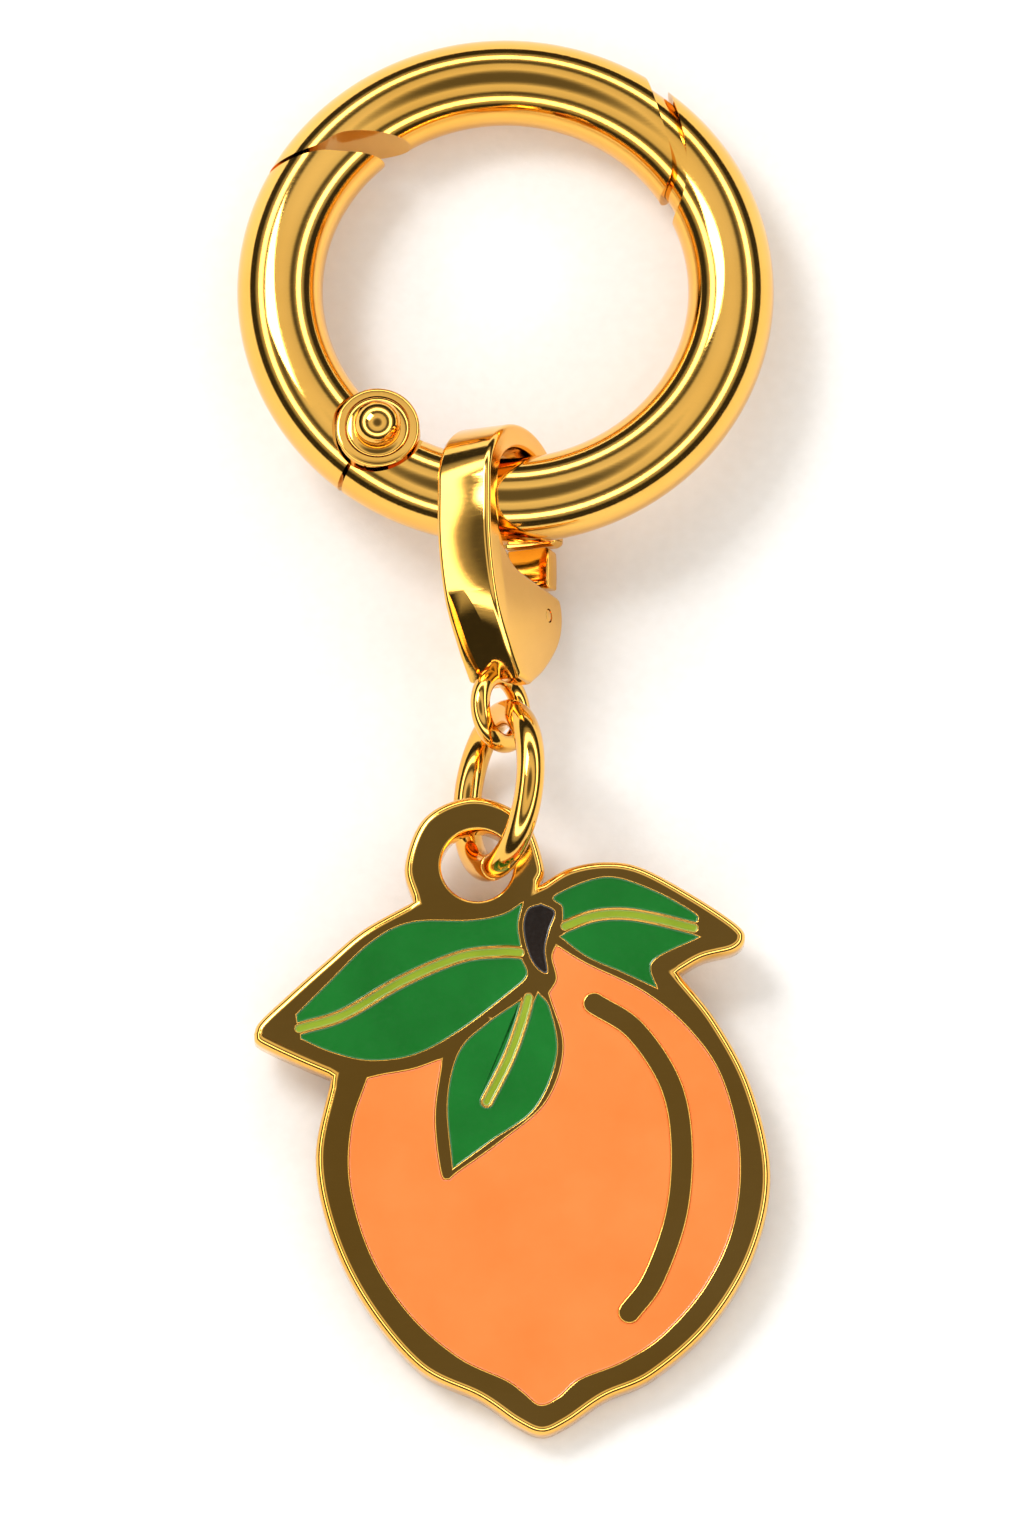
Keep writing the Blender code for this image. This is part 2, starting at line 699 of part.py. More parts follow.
def add_lever(frame, gold, bore):
    """The thumb lever: a thin arm in the slot and a wider head whose end is an arc about the pin."""
    lever_frame = new_frame_under("lever_hinge", frame, LEVER_PIVOT)
    arm = smooth_run(((-5.5, -2.1), (-4.3, -2.3), (-3.3, -3.0), (-2.2, -3.45)))
    back = smooth_run(((-2.2, -4.2), (-3.5, -4.2), (-4.8, -4.25), (-5.6, -3.7), (-5.5, -2.1)))
    bm = bmesh.new()
    add_slab(bm, joined(arm, back), ((0.06, -0.68), (0, -0.6), (0, 0.12), (0.06, 0.2)))
    bmesh.ops.translate(bm, vec=(-LEVER_PIVOT[0] * MM, -LEVER_PIVOT[1] * MM, 0), verts=bm.verts)
    lever = new_object("clasp_lever", bm, lever_frame, gold)
    head = joined(
        smooth_run(((-3.05, -4.4), (-3.08, -3.38), (-2.2, -3.3), (-0.98, -3.3))),
        smooth_run(((-0.98, -3.3), (-1.0, -3.9), (-1.15, -4.36), (-2.2, -4.45), (-3.05, -4.4))),
    )
    head_levels = ((0.15, -1.2), (0, -1.05), (0, 1.05), (0.15, 1.2))
    fuse(lever, slab_helper("lever_head", head, head_levels, frame))
    cut(lever, pin_helper("lever_bore", bore, (-3.0, 3.0), frame, LEVER_PIVOT))


# Jump ring


def build_jump_ring(frame, gold):
    bm = bmesh.new()
    path = arc_path(JUMP_RADIUS, 180.0 + JUMP_CUT / 2, 540.0 - JUMP_CUT / 2, 9.0)
    add_tube(bm, path, JUMP_WIRE, 12)
    new_object("jump_ring", bm, frame, gold)


# Charm


def charm_edge():
    runs = (LEFT_LEAF_TOP_EDGE, BAIL_EDGE, RIGHT_LEAF_TOP_EDGE, RIGHT_SIDE_EDGE, LEFT_LEAF_BOTTOM_EDGE)
    return joined(*(smooth_run(run) for run in runs))


def leaf_cells():
    """The enamel cells that hold no raised line, as name, outline and colour."""
    wall = VEIN_HALF_WIDTH + VEIN_WALL
    left_upper = joined(
        beside(LEFT_VEIN, wall), smooth_run(LEFT_UPPER_EDGE), smooth_run(LEFT_UPPER_CREST)
    )
    left_lower = joined(smooth_run(LEFT_LOWER_EDGE), beside(LEFT_VEIN, -wall)[::-1])
    right_upper = joined(beside(RIGHT_VEIN, wall), smooth_run(RIGHT_UPPER_EDGE))
    right_lower = joined(
        smooth_run(RIGHT_LOWER_EDGE), smooth_run(RIGHT_LOWER_TIP), beside(RIGHT_VEIN, -wall)[::-1]
    )
    vein_left = beside(MIDDLE_VEIN, -wall)
    vein_right = beside(MIDDLE_VEIN, wall)
    round_end = end_arc(Vector(MIDDLE_VEIN[-1]), vein_right[-1], -180)
    middle = joined(
        smooth_run(MIDDLE_LEFT_EDGE),
        smooth_run(MIDDLE_RIGHT_EDGE),
        vein_right[1:],
        round_end,
        vein_left[:0:-1],
    )
    return (
        ("left_leaf_upper_enamel", left_upper, GREEN),
        ("left_leaf_lower_enamel", left_lower, GREEN),
        ("left_vein_enamel", ribbon(LEFT_VEIN, VEIN_HALF_WIDTH), LIME),
        ("right_leaf_upper_enamel", right_upper, GREEN),
        ("right_leaf_lower_enamel", right_lower, GREEN),
        ("right_vein_enamel", ribbon(RIGHT_VEIN, VEIN_HALF_WIDTH), LIME),
        ("middle_leaf_enamel", middle, GREEN),
        ("middle_vein_enamel", ribbon(MIDDLE_VEIN, VEIN_HALF_WIDTH), LIME),
        ("stem_enamel", joined(smooth_run(STEM_EDGE)), BLACK),
    )


def build_charm(frame, gold):
    bm = bmesh.new()
    add_slab(bm, charm_edge(), PLATE_EDGE)
    base = new_object("charm_base", bm, frame, gold)

    above = PLATE_THICKNESS + 1.0
    fill_levels = ((ENAMEL_GAP, CELL_FLOOR + ENAMEL_GAP), (ENAMEL_GAP, ENAMEL_TOP))
    narrow = ((0, CELL_FLOOR), (0, above))
    bm = bmesh.new()
    for name, loop, colour in leaf_cells():
        add_slab(bm, loop, narrow)
        fill = bmesh.new()
        add_slab(fill, loop, fill_levels)
        new_object(name, fill, frame, colour, smooth=False)
    cut(base, helper("leaf_cells", bm, frame))

    runs = (PEACH_RIGHT_EDGE, PEACH_LEAF_EDGE, PEACH_MIDDLE_LEAF_EDGE, PEACH_STEM_EDGE)
    peach = joined(*(smooth_run(run) for run in runs))
    cell = slab_helper("peach_cell", peach, narrow, frame)
    crease = ribbon(CREASE, CREASE_HALF_WIDTH)
    cut(cell, slab_helper("crease_line", crease, ((0, CELL_FLOOR - 0.5), (0, above + 0.5)), frame))
    cut(base, cell)
    bm = bmesh.new()
    add_slab(bm, peach, fill_levels)
    enamel = new_object("peach_enamel", bm, frame, ORANGE, smooth=False)
    cut(enamel, slab_helper("crease_space", crease, ((-ENAMEL_GAP, 0), (-ENAMEL_GAP, above)), frame))

    ease = 0.15
    mouth = BAIL_HOLE_RADIUS + ease
    profile = ((0, -1.0), (mouth, -1.0), (mouth, 0), (BAIL_HOLE_RADIUS, ease))
    profile += ((BAIL_HOLE_RADIUS, PLATE_THICKNESS - ease), (mouth, PLATE_THICKNESS))
    profile += ((mouth, above), (0, above))
    bm = bmesh.new()
    add_lathe(bm, profile, BAIL_HOLE, 30)
    cut(base, helper("bail_hole", bm, frame))


for leftover in list(bpy.data.objects):
    bpy.data.objects.remove(leftover)

GOLD = new_material("polished_gold", (0.83, 0.53, 0.13), 0.12, 1.0)
STEEL = new_material("spring_steel", (0.55, 0.55, 0.56), 0.3, 1.0)
ORANGE = new_material("orange_enamel", (1.0, 0.28, 0.06), 0.25)
GREEN = new_material("green_enamel", (0.01, 0.2, 0.02), 0.25)
LIME = new_material("lime_enamel", (0.3, 0.45, 0.02), 0.25)
BLACK = new_material("black_enamel", (0.01, 0.007, 0.005), 0.25)

build_ring(new_frame("ring_frame", RING_CENTRE, lean_about_x(-RING_LEAN)), GOLD)

SIDE = radians(CLASP_LEAN)
CLASP_AXES = ((0, 1, 0), (-sin(SIDE), 0, cos(SIDE)), (cos(SIDE), 0, sin(SIDE)))
build_clasp(new_frame("clasp_frame", CLASP_ORIGIN, CLASP_AXES), GOLD)

LIMB = radians(JUMP_LEAN)
YAW = radians(JUMP_YAW)
JUMP_LONG = Vector((sin(YAW), cos(YAW), 0))
JUMP_HIGH = Vector((cos(LIMB) * cos(YAW), -cos(LIMB) * sin(YAW), sin(LIMB)))
JUMP_AXES = (JUMP_LONG, JUMP_HIGH, JUMP_LONG.cross(JUMP_HIGH))
build_jump_ring(new_frame("jump_frame", JUMP_CENTRE, JUMP_AXES), GOLD)

build_charm(new_frame("charm_frame", CHARM_ORIGIN, lean_about_x(CHARM_LEAN)), GOLD)
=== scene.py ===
"""Looks of the peach bag charm: polished gold hardware and a flat enamel peach on a plain studio floor.

Lengths are millimetres and angles degrees, until a finished piece is placed in the frame, which is in
metres. Each piece stands for one solid of the CAD, with its main dimensions, finer curves and softer edges.
The recess in the clasp's spine is the exception: here it has a shape of its own.
"""

import json
from math import cos, exp, pi, radians, sin

import bmesh
import bpy
from mathutils import Matrix, Vector

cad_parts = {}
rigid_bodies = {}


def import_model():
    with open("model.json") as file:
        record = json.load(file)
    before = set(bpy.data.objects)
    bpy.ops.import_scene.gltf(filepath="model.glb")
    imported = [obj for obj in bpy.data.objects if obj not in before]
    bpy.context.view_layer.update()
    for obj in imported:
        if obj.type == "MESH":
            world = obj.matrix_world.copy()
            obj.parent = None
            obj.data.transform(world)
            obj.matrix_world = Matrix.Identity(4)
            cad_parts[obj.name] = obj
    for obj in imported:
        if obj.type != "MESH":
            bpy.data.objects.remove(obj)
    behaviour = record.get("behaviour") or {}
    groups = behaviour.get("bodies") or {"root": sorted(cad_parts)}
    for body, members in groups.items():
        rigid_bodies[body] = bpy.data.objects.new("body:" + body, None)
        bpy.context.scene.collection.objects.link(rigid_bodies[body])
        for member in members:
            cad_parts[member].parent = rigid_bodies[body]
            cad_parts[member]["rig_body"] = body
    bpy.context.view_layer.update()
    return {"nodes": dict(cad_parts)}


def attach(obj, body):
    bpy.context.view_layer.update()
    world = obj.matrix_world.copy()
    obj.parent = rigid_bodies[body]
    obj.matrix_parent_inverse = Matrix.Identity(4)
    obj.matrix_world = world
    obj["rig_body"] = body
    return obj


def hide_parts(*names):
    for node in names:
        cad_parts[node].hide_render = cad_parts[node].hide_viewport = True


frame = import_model()

MM = 0.001

# How far a cutter runs past the face that it opens.
OVERRUN = 1.0

# Round spring-gate ring. Its spans are angles along the tube, anticlockwise from the right.
RING_CENTRE = (0.0, 23.39, 3.46)
RING_LEAN = 6.0
RING_RADIUS = 11.77
TUBE_RADIUS = 2.24
TUBE_SIDES = 88
DEGREES_PER_STEP = 1.5
BODY_END = 420.0
TOP_ARC_SPAN = (18.0, 153.0)
GATE_START = 120.0
PIVOT_CLEARANCE = 0.4
CUTTER_END = 4.0
THROUGH_TUBE = ((0, -CUTTER_END), (0, CUTTER_END))

PIVOT_ANGLE = 232.0
PIVOT_RADIUS = 10.8
PIVOT = Vector((PIVOT_RADIUS * cos(radians(PIVOT_ANGLE)), PIVOT_RADIUS * sin(radians(PIVOT_ANGLE))))
KNUCKLE_RADIUS = 2.22
KNUCKLE_HALF_HEIGHT = 2.3
KNUCKLE_ROUNDING = 0.22
KNUCKLE_GROOVE_WIDTH = 0.16
KNUCKLE_GROOVE_DEPTH = 0.03
KNUCKLE_GROOVE_START = 1.15
KNUCKLE_SLOT_RADIUS = 2.5
KNUCKLE_SLOT = (-1.1, 1.1)
GATE_RELIEF_RADIUS = 2.36
TONGUE = (-1.05, 0.2)
TONGUE_CHAMFER = 0.06
TONGUE_HALF_WIDTH = 1.48
TONGUE_REACH = 19.0
RIVET_RADIUS = 0.7
RIVET_HOLE_RADIUS = 0.73
RIVET_PLAY = 0.02
RIVET_FOOT = ((0, -0.3), (0.95, -0.3), (1.08, -0.25), (1.15, -0.12), (1.15, 0))
HEAD_RADIUS = 1.22
HEAD_NECK_SHARE = 0.86
DOME_MIDDLE = 0.42
DOME_FLATTENING = 0.8
DOME_START = -25
WASHER_RADIUS = 1.68
WASHER_POCKET_RADIUS = 1.72
WASHER_THICKNESS = 0.42
WASHER_POCKET_DEPTH = 0.3
WASHER_UPRIGHT_SHARE = 0.55
WASHER_CROWN_SHARE = 0.45
POCKET_FLOOR = KNUCKLE_HALF_HEIGHT - WASHER_POCKET_DEPTH
WASHER_SEAT = POCKET_FLOOR + RIVET_PLAY
GATE_SPRING_RADIUS = 1.05
GATE_SPRING_WIRE = 0.12
GATE_SPRING_CLEARANCE = 0.2
GATE_NOSE_RADIUS = 15.9
GATE_NOSE_LIP = -0.25
TOP_ARC_NOSE_RADIUS = 16.15
TOP_ARC_NOSE_LIP = 0.6
NOSE_SEAM_START = 126.0
NOSE_SEAM_POINTS = 72
NOSE_SEAM_SPACING = 0.75
NOSE_SEAM_MIDDLE = 99.0
NOSE_SEAM_STEEPNESS = 0.9
BEYOND_NOSE_ANGLES = (66.0, 80.0, 95.0, 110.0, 132.0)
BEYOND_NOSE_RADIUS = 24
SPIGOT_RADIUS = 1.85
SPIGOT_GAP = 0.03
SPIGOT_SPAN = (17.3, 69.7)
SPIGOT_BORE_SPAN = (17.0, 70.0)

# The upper-right seam as each tube has it, and the corners that close the cutter behind it.
BODY_SEAM = ((7.9, 12.9), (8.44, 11.35), (9.0, 9.4), (9.4, 7.5), (9.45, 5.9), (9.2, 4.6), (8.2, 3.1))
TOP_ARC_SEAM = (
    (7.0, 12.9),
    (7.42, 11.45),
    (8.0, 9.4),
    (8.5, 7.7),
    (8.7, 6.4),
    (8.5, 5.6),
    (7.7, 4.9),
    (6.0, 4.4),
)
BEYOND_BODY = ((2.0, 3.1), (2.0, 14.5), (7.7, 14.5))
BEYOND_TOP_ARC = ((6.0, -2.0), (16.0, -2.0), (16.0, 14.5), (6.8, 14.5))

# Lobster clasp. In its own frame x runs towards the hook, y towards the spine and z across the cheeks.
# The wires of its eye and of the jump ring are a little thinner than the CAD's, which has flat facets. The
# rounder tubes here would touch when the joints turn.
CLASP_ORIGIN = (-0.25, 10.85, 4.8)
CLASP_LEAN = 25.0
CLASP_THICKNESS = 3.0
CLASP_ROUNDING = 0.3
HOOK_MIDDLE = 0.9
HOOK_INSIDE = (2.45, 3.4)
HOOK_OUTSIDE = (3.75, 4.7)
HOOK_TIP = -0.8
HOOK_TIP_INSIDE = ((HOOK_MIDDLE, -3.4), (HOOK_TIP + 0.25, -3.4), (HOOK_TIP, -3.65), (HOOK_TIP, -4.35))
HOOK_TIP_OUTSIDE = ((HOOK_TIP, -4.35), (HOOK_TIP + 0.3, -4.68), (HOOK_MIDDLE, -4.7))
EYE_CENTRE = -10.41
EYE_RADIUS = 1.75
EYE_WIRE = 0.508
EYE_TURN = -12.0
EYE_SIDES = 40
LEVER_PIVOT = (-4.85, -2.75)
LEVER_SLOT = (-0.75, 0.75)
LEVER_PIN_RADIUS = 0.34
LEVER_PIN_ROUNDING = 0.08
LEVER_PIN_RECESS = 0.02
PIN_GAP = 0.03
PIN_CUTTER = (-3.0, 3.0)
LEVER_SPRING_RADIUS = 0.56
LEVER_SPRING_HEIGHTS = (0.33, 0.63)
LEVER_SPRING_WIRE = 0.07

# Jump ring, standing on edge and leaning.
JUMP_CENTRE = (-0.35, -3.81, 4.56)
JUMP_LEAN = 66.0
JUMP_YAW = 3.0
JUMP_RADIUS = 4.05
JUMP_WIRE = 0.725
JUMP_SIDES = 64
JUMP_CUT = 1.6
JUMP_ROUNDING = 0.1
JUMP_DEGREES_PER_STEP = 2.0

# Flat charm. In its own frame x is to the right, y towards the bail and z through the plate from its back.
CHARM_ORIGIN = (-1.36, -7.58, 2.16)
CHARM_LEAN = 4.2
PLATE_THICKNESS = 1.9
CELL_FLOOR = 1.35
ENAMEL_TOP = 1.8
VEIN_HALF_WIDTH = 0.2
VEIN_WALL = 0.13
CREASE_HALF_WIDTH = 0.6
BAIL_HOLE = (-0.1, 0.05)
BAIL_HOLE_RADIUS = 1.88
BAIL_HOLE_ROUNDING = 0.15
ENAMEL_GAP = 0.004
CURVE_STEPS = 9

# The clasp's outlines in its own frame, as runs of points.

CLASP_SPINE = ((0.9, 4.7), (-2.2, 4.65), (-5.3, 3.8), (-7.5, 2.2), (-9.0, 0.75))
CLASP_BELLY = ((-9.0, -0.75), (-7.9, -2.4), (-6.3, -4.0), (-4.9, -4.55), (-3.7, -4.25), (-3.5, -3.3))
CLASP_THROAT = ((-3.5, -3.3), (-3.35, -1.0), (-3.0, 1.6), (-1.6, 3.15), (0.9, 3.4))
SLOT_TOP = ((-2.9, -2.2), (-4.2, -1.2), (-6.0, -1.7), (-6.6, -3.0), (-6.2, -4.7))
BEYOND_SLOT = ((-4.9, -5.4), (-2.9, -5.2))
ARM_TOP = ((-5.5, -2.1), (-4.3, -2.3), (-3.3, -3.0), (-2.2, -3.45))
ARM_BOTTOM = ((-2.2, -4.2), (-3.5, -4.2), (-4.8, -4.25), (-5.6, -3.7), (-5.5, -2.1))
HEAD_TOP = ((-3.05, -4.4), (-3.08, -3.38), (-2.2, -3.3), (-0.98, -3.3))
HEAD_BOTTOM = ((-0.98, -3.3), (-1.0, -3.9), (-1.15, -4.36), (-2.2, -4.45), (-3.05, -4.4))
HEAD_HALF_WIDTH = 1.2
HEAD_ROUNDING = 0.15

# The recess in the spine, seen from above it: x as in the clasp, then the height across the cheeks.
RECESS_LEFT = ((-3.7, -1.1), (-5.5, -1.16), (-7.5, -1.1), (-8.7, -0.8))
RECESS_RIDGE = ((-8.7, -0.8), (-8.35, 0.1), (-7.2, 0.45), (-5.6, 0.1), (-4.4, -0.6), (-3.7, -1.1))

# Levels of slabs, as (inset, height) pairs from the bottom to the top.
RECESS_LEVELS = ((0, -0.15), (0, 2.0))
ARM_LEVELS = ((0.08, -0.68), (0.02, -0.65), (0, -0.58), (0, 0.1), (0.02, 0.17), (0.08, 0.2))
TONGUE_LEVELS = (
    (TONGUE_CHAMFER, TONGUE[0]),
    (0, TONGUE[0] + TONGUE_CHAMFER),
    (0, TONGUE[1] - TONGUE_CHAMFER),
    (TONGUE_CHAMFER, TONGUE[1]),
)
PLATE_EDGE = (
    (0.25, 0),
    (0.07, 0.07),
    (0, 0.25),
    (0, 1.4),
    (0.04, 1.6),
    (0.13, 1.75),
    (0.26, 1.85),
    (0.45, 1.9),
)
LEAF_LIP = (
    (0, CELL_FLOOR),
    (0, PLATE_THICKNESS - 0.06),
    (-0.02, PLATE_THICKNESS - 0.02),
    (-0.055, PLATE_THICKNESS),
    (-0.056, PLATE_THICKNESS + OVERRUN),
)
PEACH_LIP = (
    (0, CELL_FLOOR),
    (0, PLATE_THICKNESS - 0.1),
    (-0.03, PLATE_THICKNESS - 0.035),
    (-0.1, PLATE_THICKNESS),
    (-0.101, PLATE_THICKNESS + OVERRUN),
)
CREASE_LIP = (
    (0, CELL_FLOOR - 0.5),
    (0, PLATE_THICKNESS - 0.1),
    (0.03, PLATE_THICKNESS - 0.035),
    (0.1, PLATE_THICKNESS),
    (0.101, PLATE_THICKNESS + 2 * OVERRUN),
)
ENAMEL_FILL = (
    (ENAMEL_GAP, CELL_FLOOR + 0.01),
    (ENAMEL_GAP, ENAMEL_TOP + 0.035),
    (0.035, ENAMEL_TOP + 0.012),
    (0.09, ENAMEL_TOP),
)
CREASE_GAP = ((-ENAMEL_GAP, 0), (-ENAMEL_GAP, PLATE_THICKNESS + OVERRUN))

# Plating, in linear light.
GOLD_DEEP = (0.85, 0.45, 0.075)
GOLD_PALE = (0.95, 0.54, 0.12)

# Studio: the light by the sine of its height above the horizon, then the paper, key light and camera.
SKY = (
    (0.0, 0.4),
    (0.02, 0.04),
    (0.27, 0.03),
    (0.36, 0.4),
    (0.43, 0.5),
    (0.46, 3.7),
    (0.58, 3.7),
    (0.62, 0.45),
    (0.7, 0.1),
    (0.76, 0.1),
    (0.81, 0.7),
    (0.93, 0.85),
    (0.965, 0.3),
    (0.982, 0.13),
    (1.0, 0.12),
)
SKY_STRENGTH = 1.1
SKY_TINT = (1.0, 0.985, 0.955)
FLOOR_HALF_SIDE = 1500.0
PAPER_DEEP = (0.90, 0.893, 0.88)
PAPER_PALE = (0.93, 0.925, 0.915)
KEY_PLACE = (-260.0, 230.0, 420.0)
KEY_SIZE = (220.0, 160.0)
KEY_WATTS = 1.3
CAMERA_ELEVATION = 75.4
CAMERA_DISTANCE = 1000.0
VIEW_HEIGHT = 79.7
VIEW_CENTRE = (0.34, -2.2, 3.0)

# The charm's edge, as runs of points in millimetres that meet at corners.
LEFT_LEAF_TOP_EDGE = (
    (-11.65, -8.75),
    (-11.35, -8.1),
    (-10.0, -6.8),
    (-8.0, -4.98),
    (-6.0, -3.27),
    (-3.42, -1.8),
)
BAIL_EDGE = (
    (-3.42, -1.8),
    (-3.85, 0.1),
    (-2.8, 2.65),
    (-0.25, 3.7),
    (2.3, 2.65),
    (3.35, 0.1),
    (3.12, -0.95),
)
RIGHT_LEAF_TOP_EDGE = (
    (3.12, -0.95),
    (4.6, -0.05),
    (6.5, 0.3),
    (8.4, 0.0),
    (11.0, -1.4),
    (13.35, -3.0),
    (13.75, -3.8),
    (13.2, -4.45),
    (11.6, -4.88),
    (10.35, -5.6),
)
RIGHT_SIDE_EDGE = (
    (10.35, -5.6),
    (12.3, -8.1),
    (14.1, -11.6),
    (15.05, -16.1),
    (14.2, -20.3),
    (12.0, -24.0),
    (9.0, -26.7),
    (6.5, -27.85),
    (4.6, -29.15),
    (3.25, -29.7),
    (1.9, -29.15),
    (0.0, -27.85),
    (-3.1, -26.3),
    (-5.9, -22.95),
    (-7.7, -19.2),
    (-8.45, -15.2),
    (-7.65, -11.05),
)
LEFT_LEAF_BOTTOM_EDGE = ((-7.65, -11.05), (-9.3, -10.35), (-10.9, -9.6), (-11.55, -9.2), (-11.65, -8.75))

# Middle lines of the light green veins, and the edges of the leaf cells that they divide.
LEFT_VEIN = (
    (-9.3, -8.52),
    (-7.0, -7.8),
    (-4.0, -6.05),
    (-1.0, -4.77),
    (1.1, -4.5),
    (2.1, -4.53),
)
LEFT_UPPER_EDGE = ((2.15, -4.2), (2.0, -3.1), (2.25, -1.92))
LEFT_UPPER_CREST = (
    (2.25, -1.92),
    (1.2, -2.55),
    (-0.5, -2.86),
    (-3.5, -2.95),
    (-5.6, -4.0),
    (-8.0, -6.35),
    (-9.45, -7.8),
)
LEFT_LOWER_EDGE = (
    (-9.2, -9.05),
    (-7.6, -9.75),
    (-5.6, -10.18),
    (-3.3, -9.85),
    (-1.0, -8.6),
    (1.5, -6.67),
    (2.45, -5.75),
    (2.2, -4.9),
)
RIGHT_VEIN = ((4.45, -3.15), (5.9, -2.62), (7.4, -2.5), (9.0, -2.73), (11.1, -3.25))
RIGHT_UPPER_EDGE = (
    (11.3, -2.88),
    (11.1, -2.45),
    (8.9, -1.23),
    (6.5, -0.58),
    (3.95, -1.54),
    (4.3, -2.1),
    (4.35, -2.75),
)
RIGHT_LOWER_EDGE = ((4.2, -3.7), (5.6, -4.75), (7.4, -5.55), (9.2, -6.4))
RIGHT_LOWER_TIP = ((9.2, -6.4), (8.85, -5.4), (9.3, -4.72), (11.4, -3.72))
MIDDLE_VEIN = ((2.55, -6.9), (2.2, -8.2), (1.5, -10.15), (0.4, -12.35))
MIDDLE_LEFT_EDGE = ((2.15, -7.05), (0.3, -8.35), (-1.05, -9.8), (-1.62, -12.4), (-1.35, -15.85))
MIDDLE_RIGHT_EDGE = (
    (-1.35, -15.85),
    (0.6, -14.4),
    (2.9, -12.67),
    (4.0, -9.9),
    (3.65, -7.5),
    (3.05, -6.65),
)
STEM_EDGE = (
    (3.2, -1.99),
    (3.9, -2.4),
    (3.6, -3.4),
    (3.4, -4.4),
    (3.5, -5.6),
    (2.75, -5.0),
    (2.3, -3.4),
    (2.5, -2.3),
    (3.2, -1.99),
)

# The peach cell, whose top follows the leaves, and the raised crease inside it.
PEACH_RIGHT_EDGE = (
    (4.0, -4.2),
    (5.5, -5.13),
    (8.5, -6.62),
    (10.8, -8.55),
    (12.5, -11.1),
    (13.4, -14.9),
    (13.1, -18.7),
    (11.7, -21.9),
    (9.5, -24.5),
    (7.4, -25.9),
    (5.2, -26.8),
    (4.1, -27.75),
    (3.15, -28.15),
    (2.3, -27.5),
    (1.4, -26.85),
    (-1.0, -25.7),
    (-3.5, -23.5),
    (-5.5, -20.45),
    (-6.6, -16.8),
    (-6.55, -13.7),
    (-5.75, -11.15),
)
PEACH_LEAF_EDGE = ((-5.75, -11.15), (-4.9, -10.95), (-3.4, -10.67), (-1.95, -10.15))
PEACH_MIDDLE_LEAF_EDGE = (
    (-1.95, -10.15),
    (-2.32, -13.1),
    (-2.02, -16.0),
    (-1.6, -16.45),
    (-1.0, -16.0),
    (1.2, -14.4),
    (3.5, -12.35),
    (4.4, -9.5),
    (3.65, -6.67),
)
PEACH_STEM_EDGE = ((3.65, -6.67), (4.05, -5.9), (3.82, -4.8), (4.0, -4.2))
CREASE = (
    (5.95, -7.2),
    (8.05, -8.6),
    (9.85, -11.35),
    (10.45, -14.4),
    (10.2, -18.15),
    (9.0, -21.6),
    (7.75, -23.35),
)

# Curves and outlines


def smooth_run(points, steps=CURVE_STEPS):
    """Points of a Catmull-Rom curve through the given ones, from the first to the last."""
    points = [Vector(point) for point in points]
    padded = [2 * points[0] - points[1], *points, 2 * points[-1] - points[-2]]
    curve = []
    for start, a, b, end in zip(padded, padded[1:], padded[2:], padded[3:]):
        for step in range(steps):
            t = step / steps
            bend = 2 * start - 5 * a + 4 * b - end
            twist = 3 * a - start - 3 * b + end
            curve.append(0.5 * (2 * a + (b - start) * t + bend * t * t + twist * t**3))
    curve.append(points[-1])
    return curve


def joined(*runs):
    """One closed loop, anticlockwise, from runs that each start where the one before ends."""
    loop = []
    for run in runs:
        loop.extend(point for point in run if not loop or (point - loop[-1]).length > 0.01)
    if (loop[0] - loop[-1]).length < 0.01:
        loop.pop()
    area = sum(a.cross(b) for a, b in zip(loop, loop[1:] + loop[:1]))
    return loop if area > 0 else loop[::-1]


def beside(points, distance):
    """The smooth run through the points, moved to its left by a distance."""
    curve = smooth_run(points)
    moved = []
    for index, point in enumerate(curve):
        before = curve[max(index - 1, 0)]
        after = curve[min(index + 1, len(curve) - 1)]
        along = (after - before).normalized()
        moved.append(point + distance * Vector((-along.y, along.x)))
    return moved


def end_arc(middle, start, sweep, steps=12):
    """The inner points of an arc about the middle that begins at the start point."""
    arm = start - middle
    return [
        middle + Matrix.Rotation(radians(sweep) * step / steps, 2) @ arm for step in range(1, steps)
    ]


def ribbon(points, half_width):
    """A band of even width along the smooth run, with round ends."""
    left = beside(points, half_width)
    right = beside(points, -half_width)
    first, last = Vector(points[0]), Vector(points[-1])
    return joined(left, end_arc(last, left[-1], -180), right[::-1], end_arc(first, right[0], -180))


def vectors(points):
    return [Vector(point) for point in points]


def direction(degrees):
    return Vector((cos(radians(degrees)), sin(radians(degrees))))


def circle(middle, radius, steps):
    return [Vector(middle) + radius * direction(360 * step / steps) for step in range(steps)]


def inset(loop, distance):
    """The anticlockwise loop moved inwards by a distance, with mitred corners."""
    moved = []
    for before, point, after in zip(loop[-1:] + loop[:-1], loop, loop[1:] + loop[:1]):
        into = (point - before).normalized()
        out = (after - point).normalized()
        normal = Vector((-into.y - out.y, into.x + out.x)).normalized()
        shortening = max(0.5, -normal.x * into.y + normal.y * into.x)
        moved.append(point + distance / shortening * normal)
    return moved


def rounded(radius, height, steps=4):
    """(inset, height) pairs of a quarter-round edge that ends at the height."""
    pairs = []
    for step in range(steps + 1):
        turn = radians(90 * step / steps)
        pairs.append((radius * (1 - cos(turn)), height - radius * (1 - sin(turn))))
    return pairs


def rounded_both_ways(radius, half_height, steps=4):
    """The levels of a slab that has the quarter-round at both its faces."""
    upper = rounded(radius, half_height, steps)
    return [(d, -h) for d, h in upper[::-1]] + upper


def arc_path(radius, start, end, step=DEGREES_PER_STEP):
    count = max(2, round((end - start) / step))
    angles = [start + (end - start) * index / count for index in range(count + 1)]
    return [Vector((*(radius * direction(angle)), 0)) for angle in angles]


def flat_circle_path(radius, degrees_per_step):
    return [Vector((*(radius * direction(angle)), 0)) for angle in range(0, 360, degrees_per_step)]


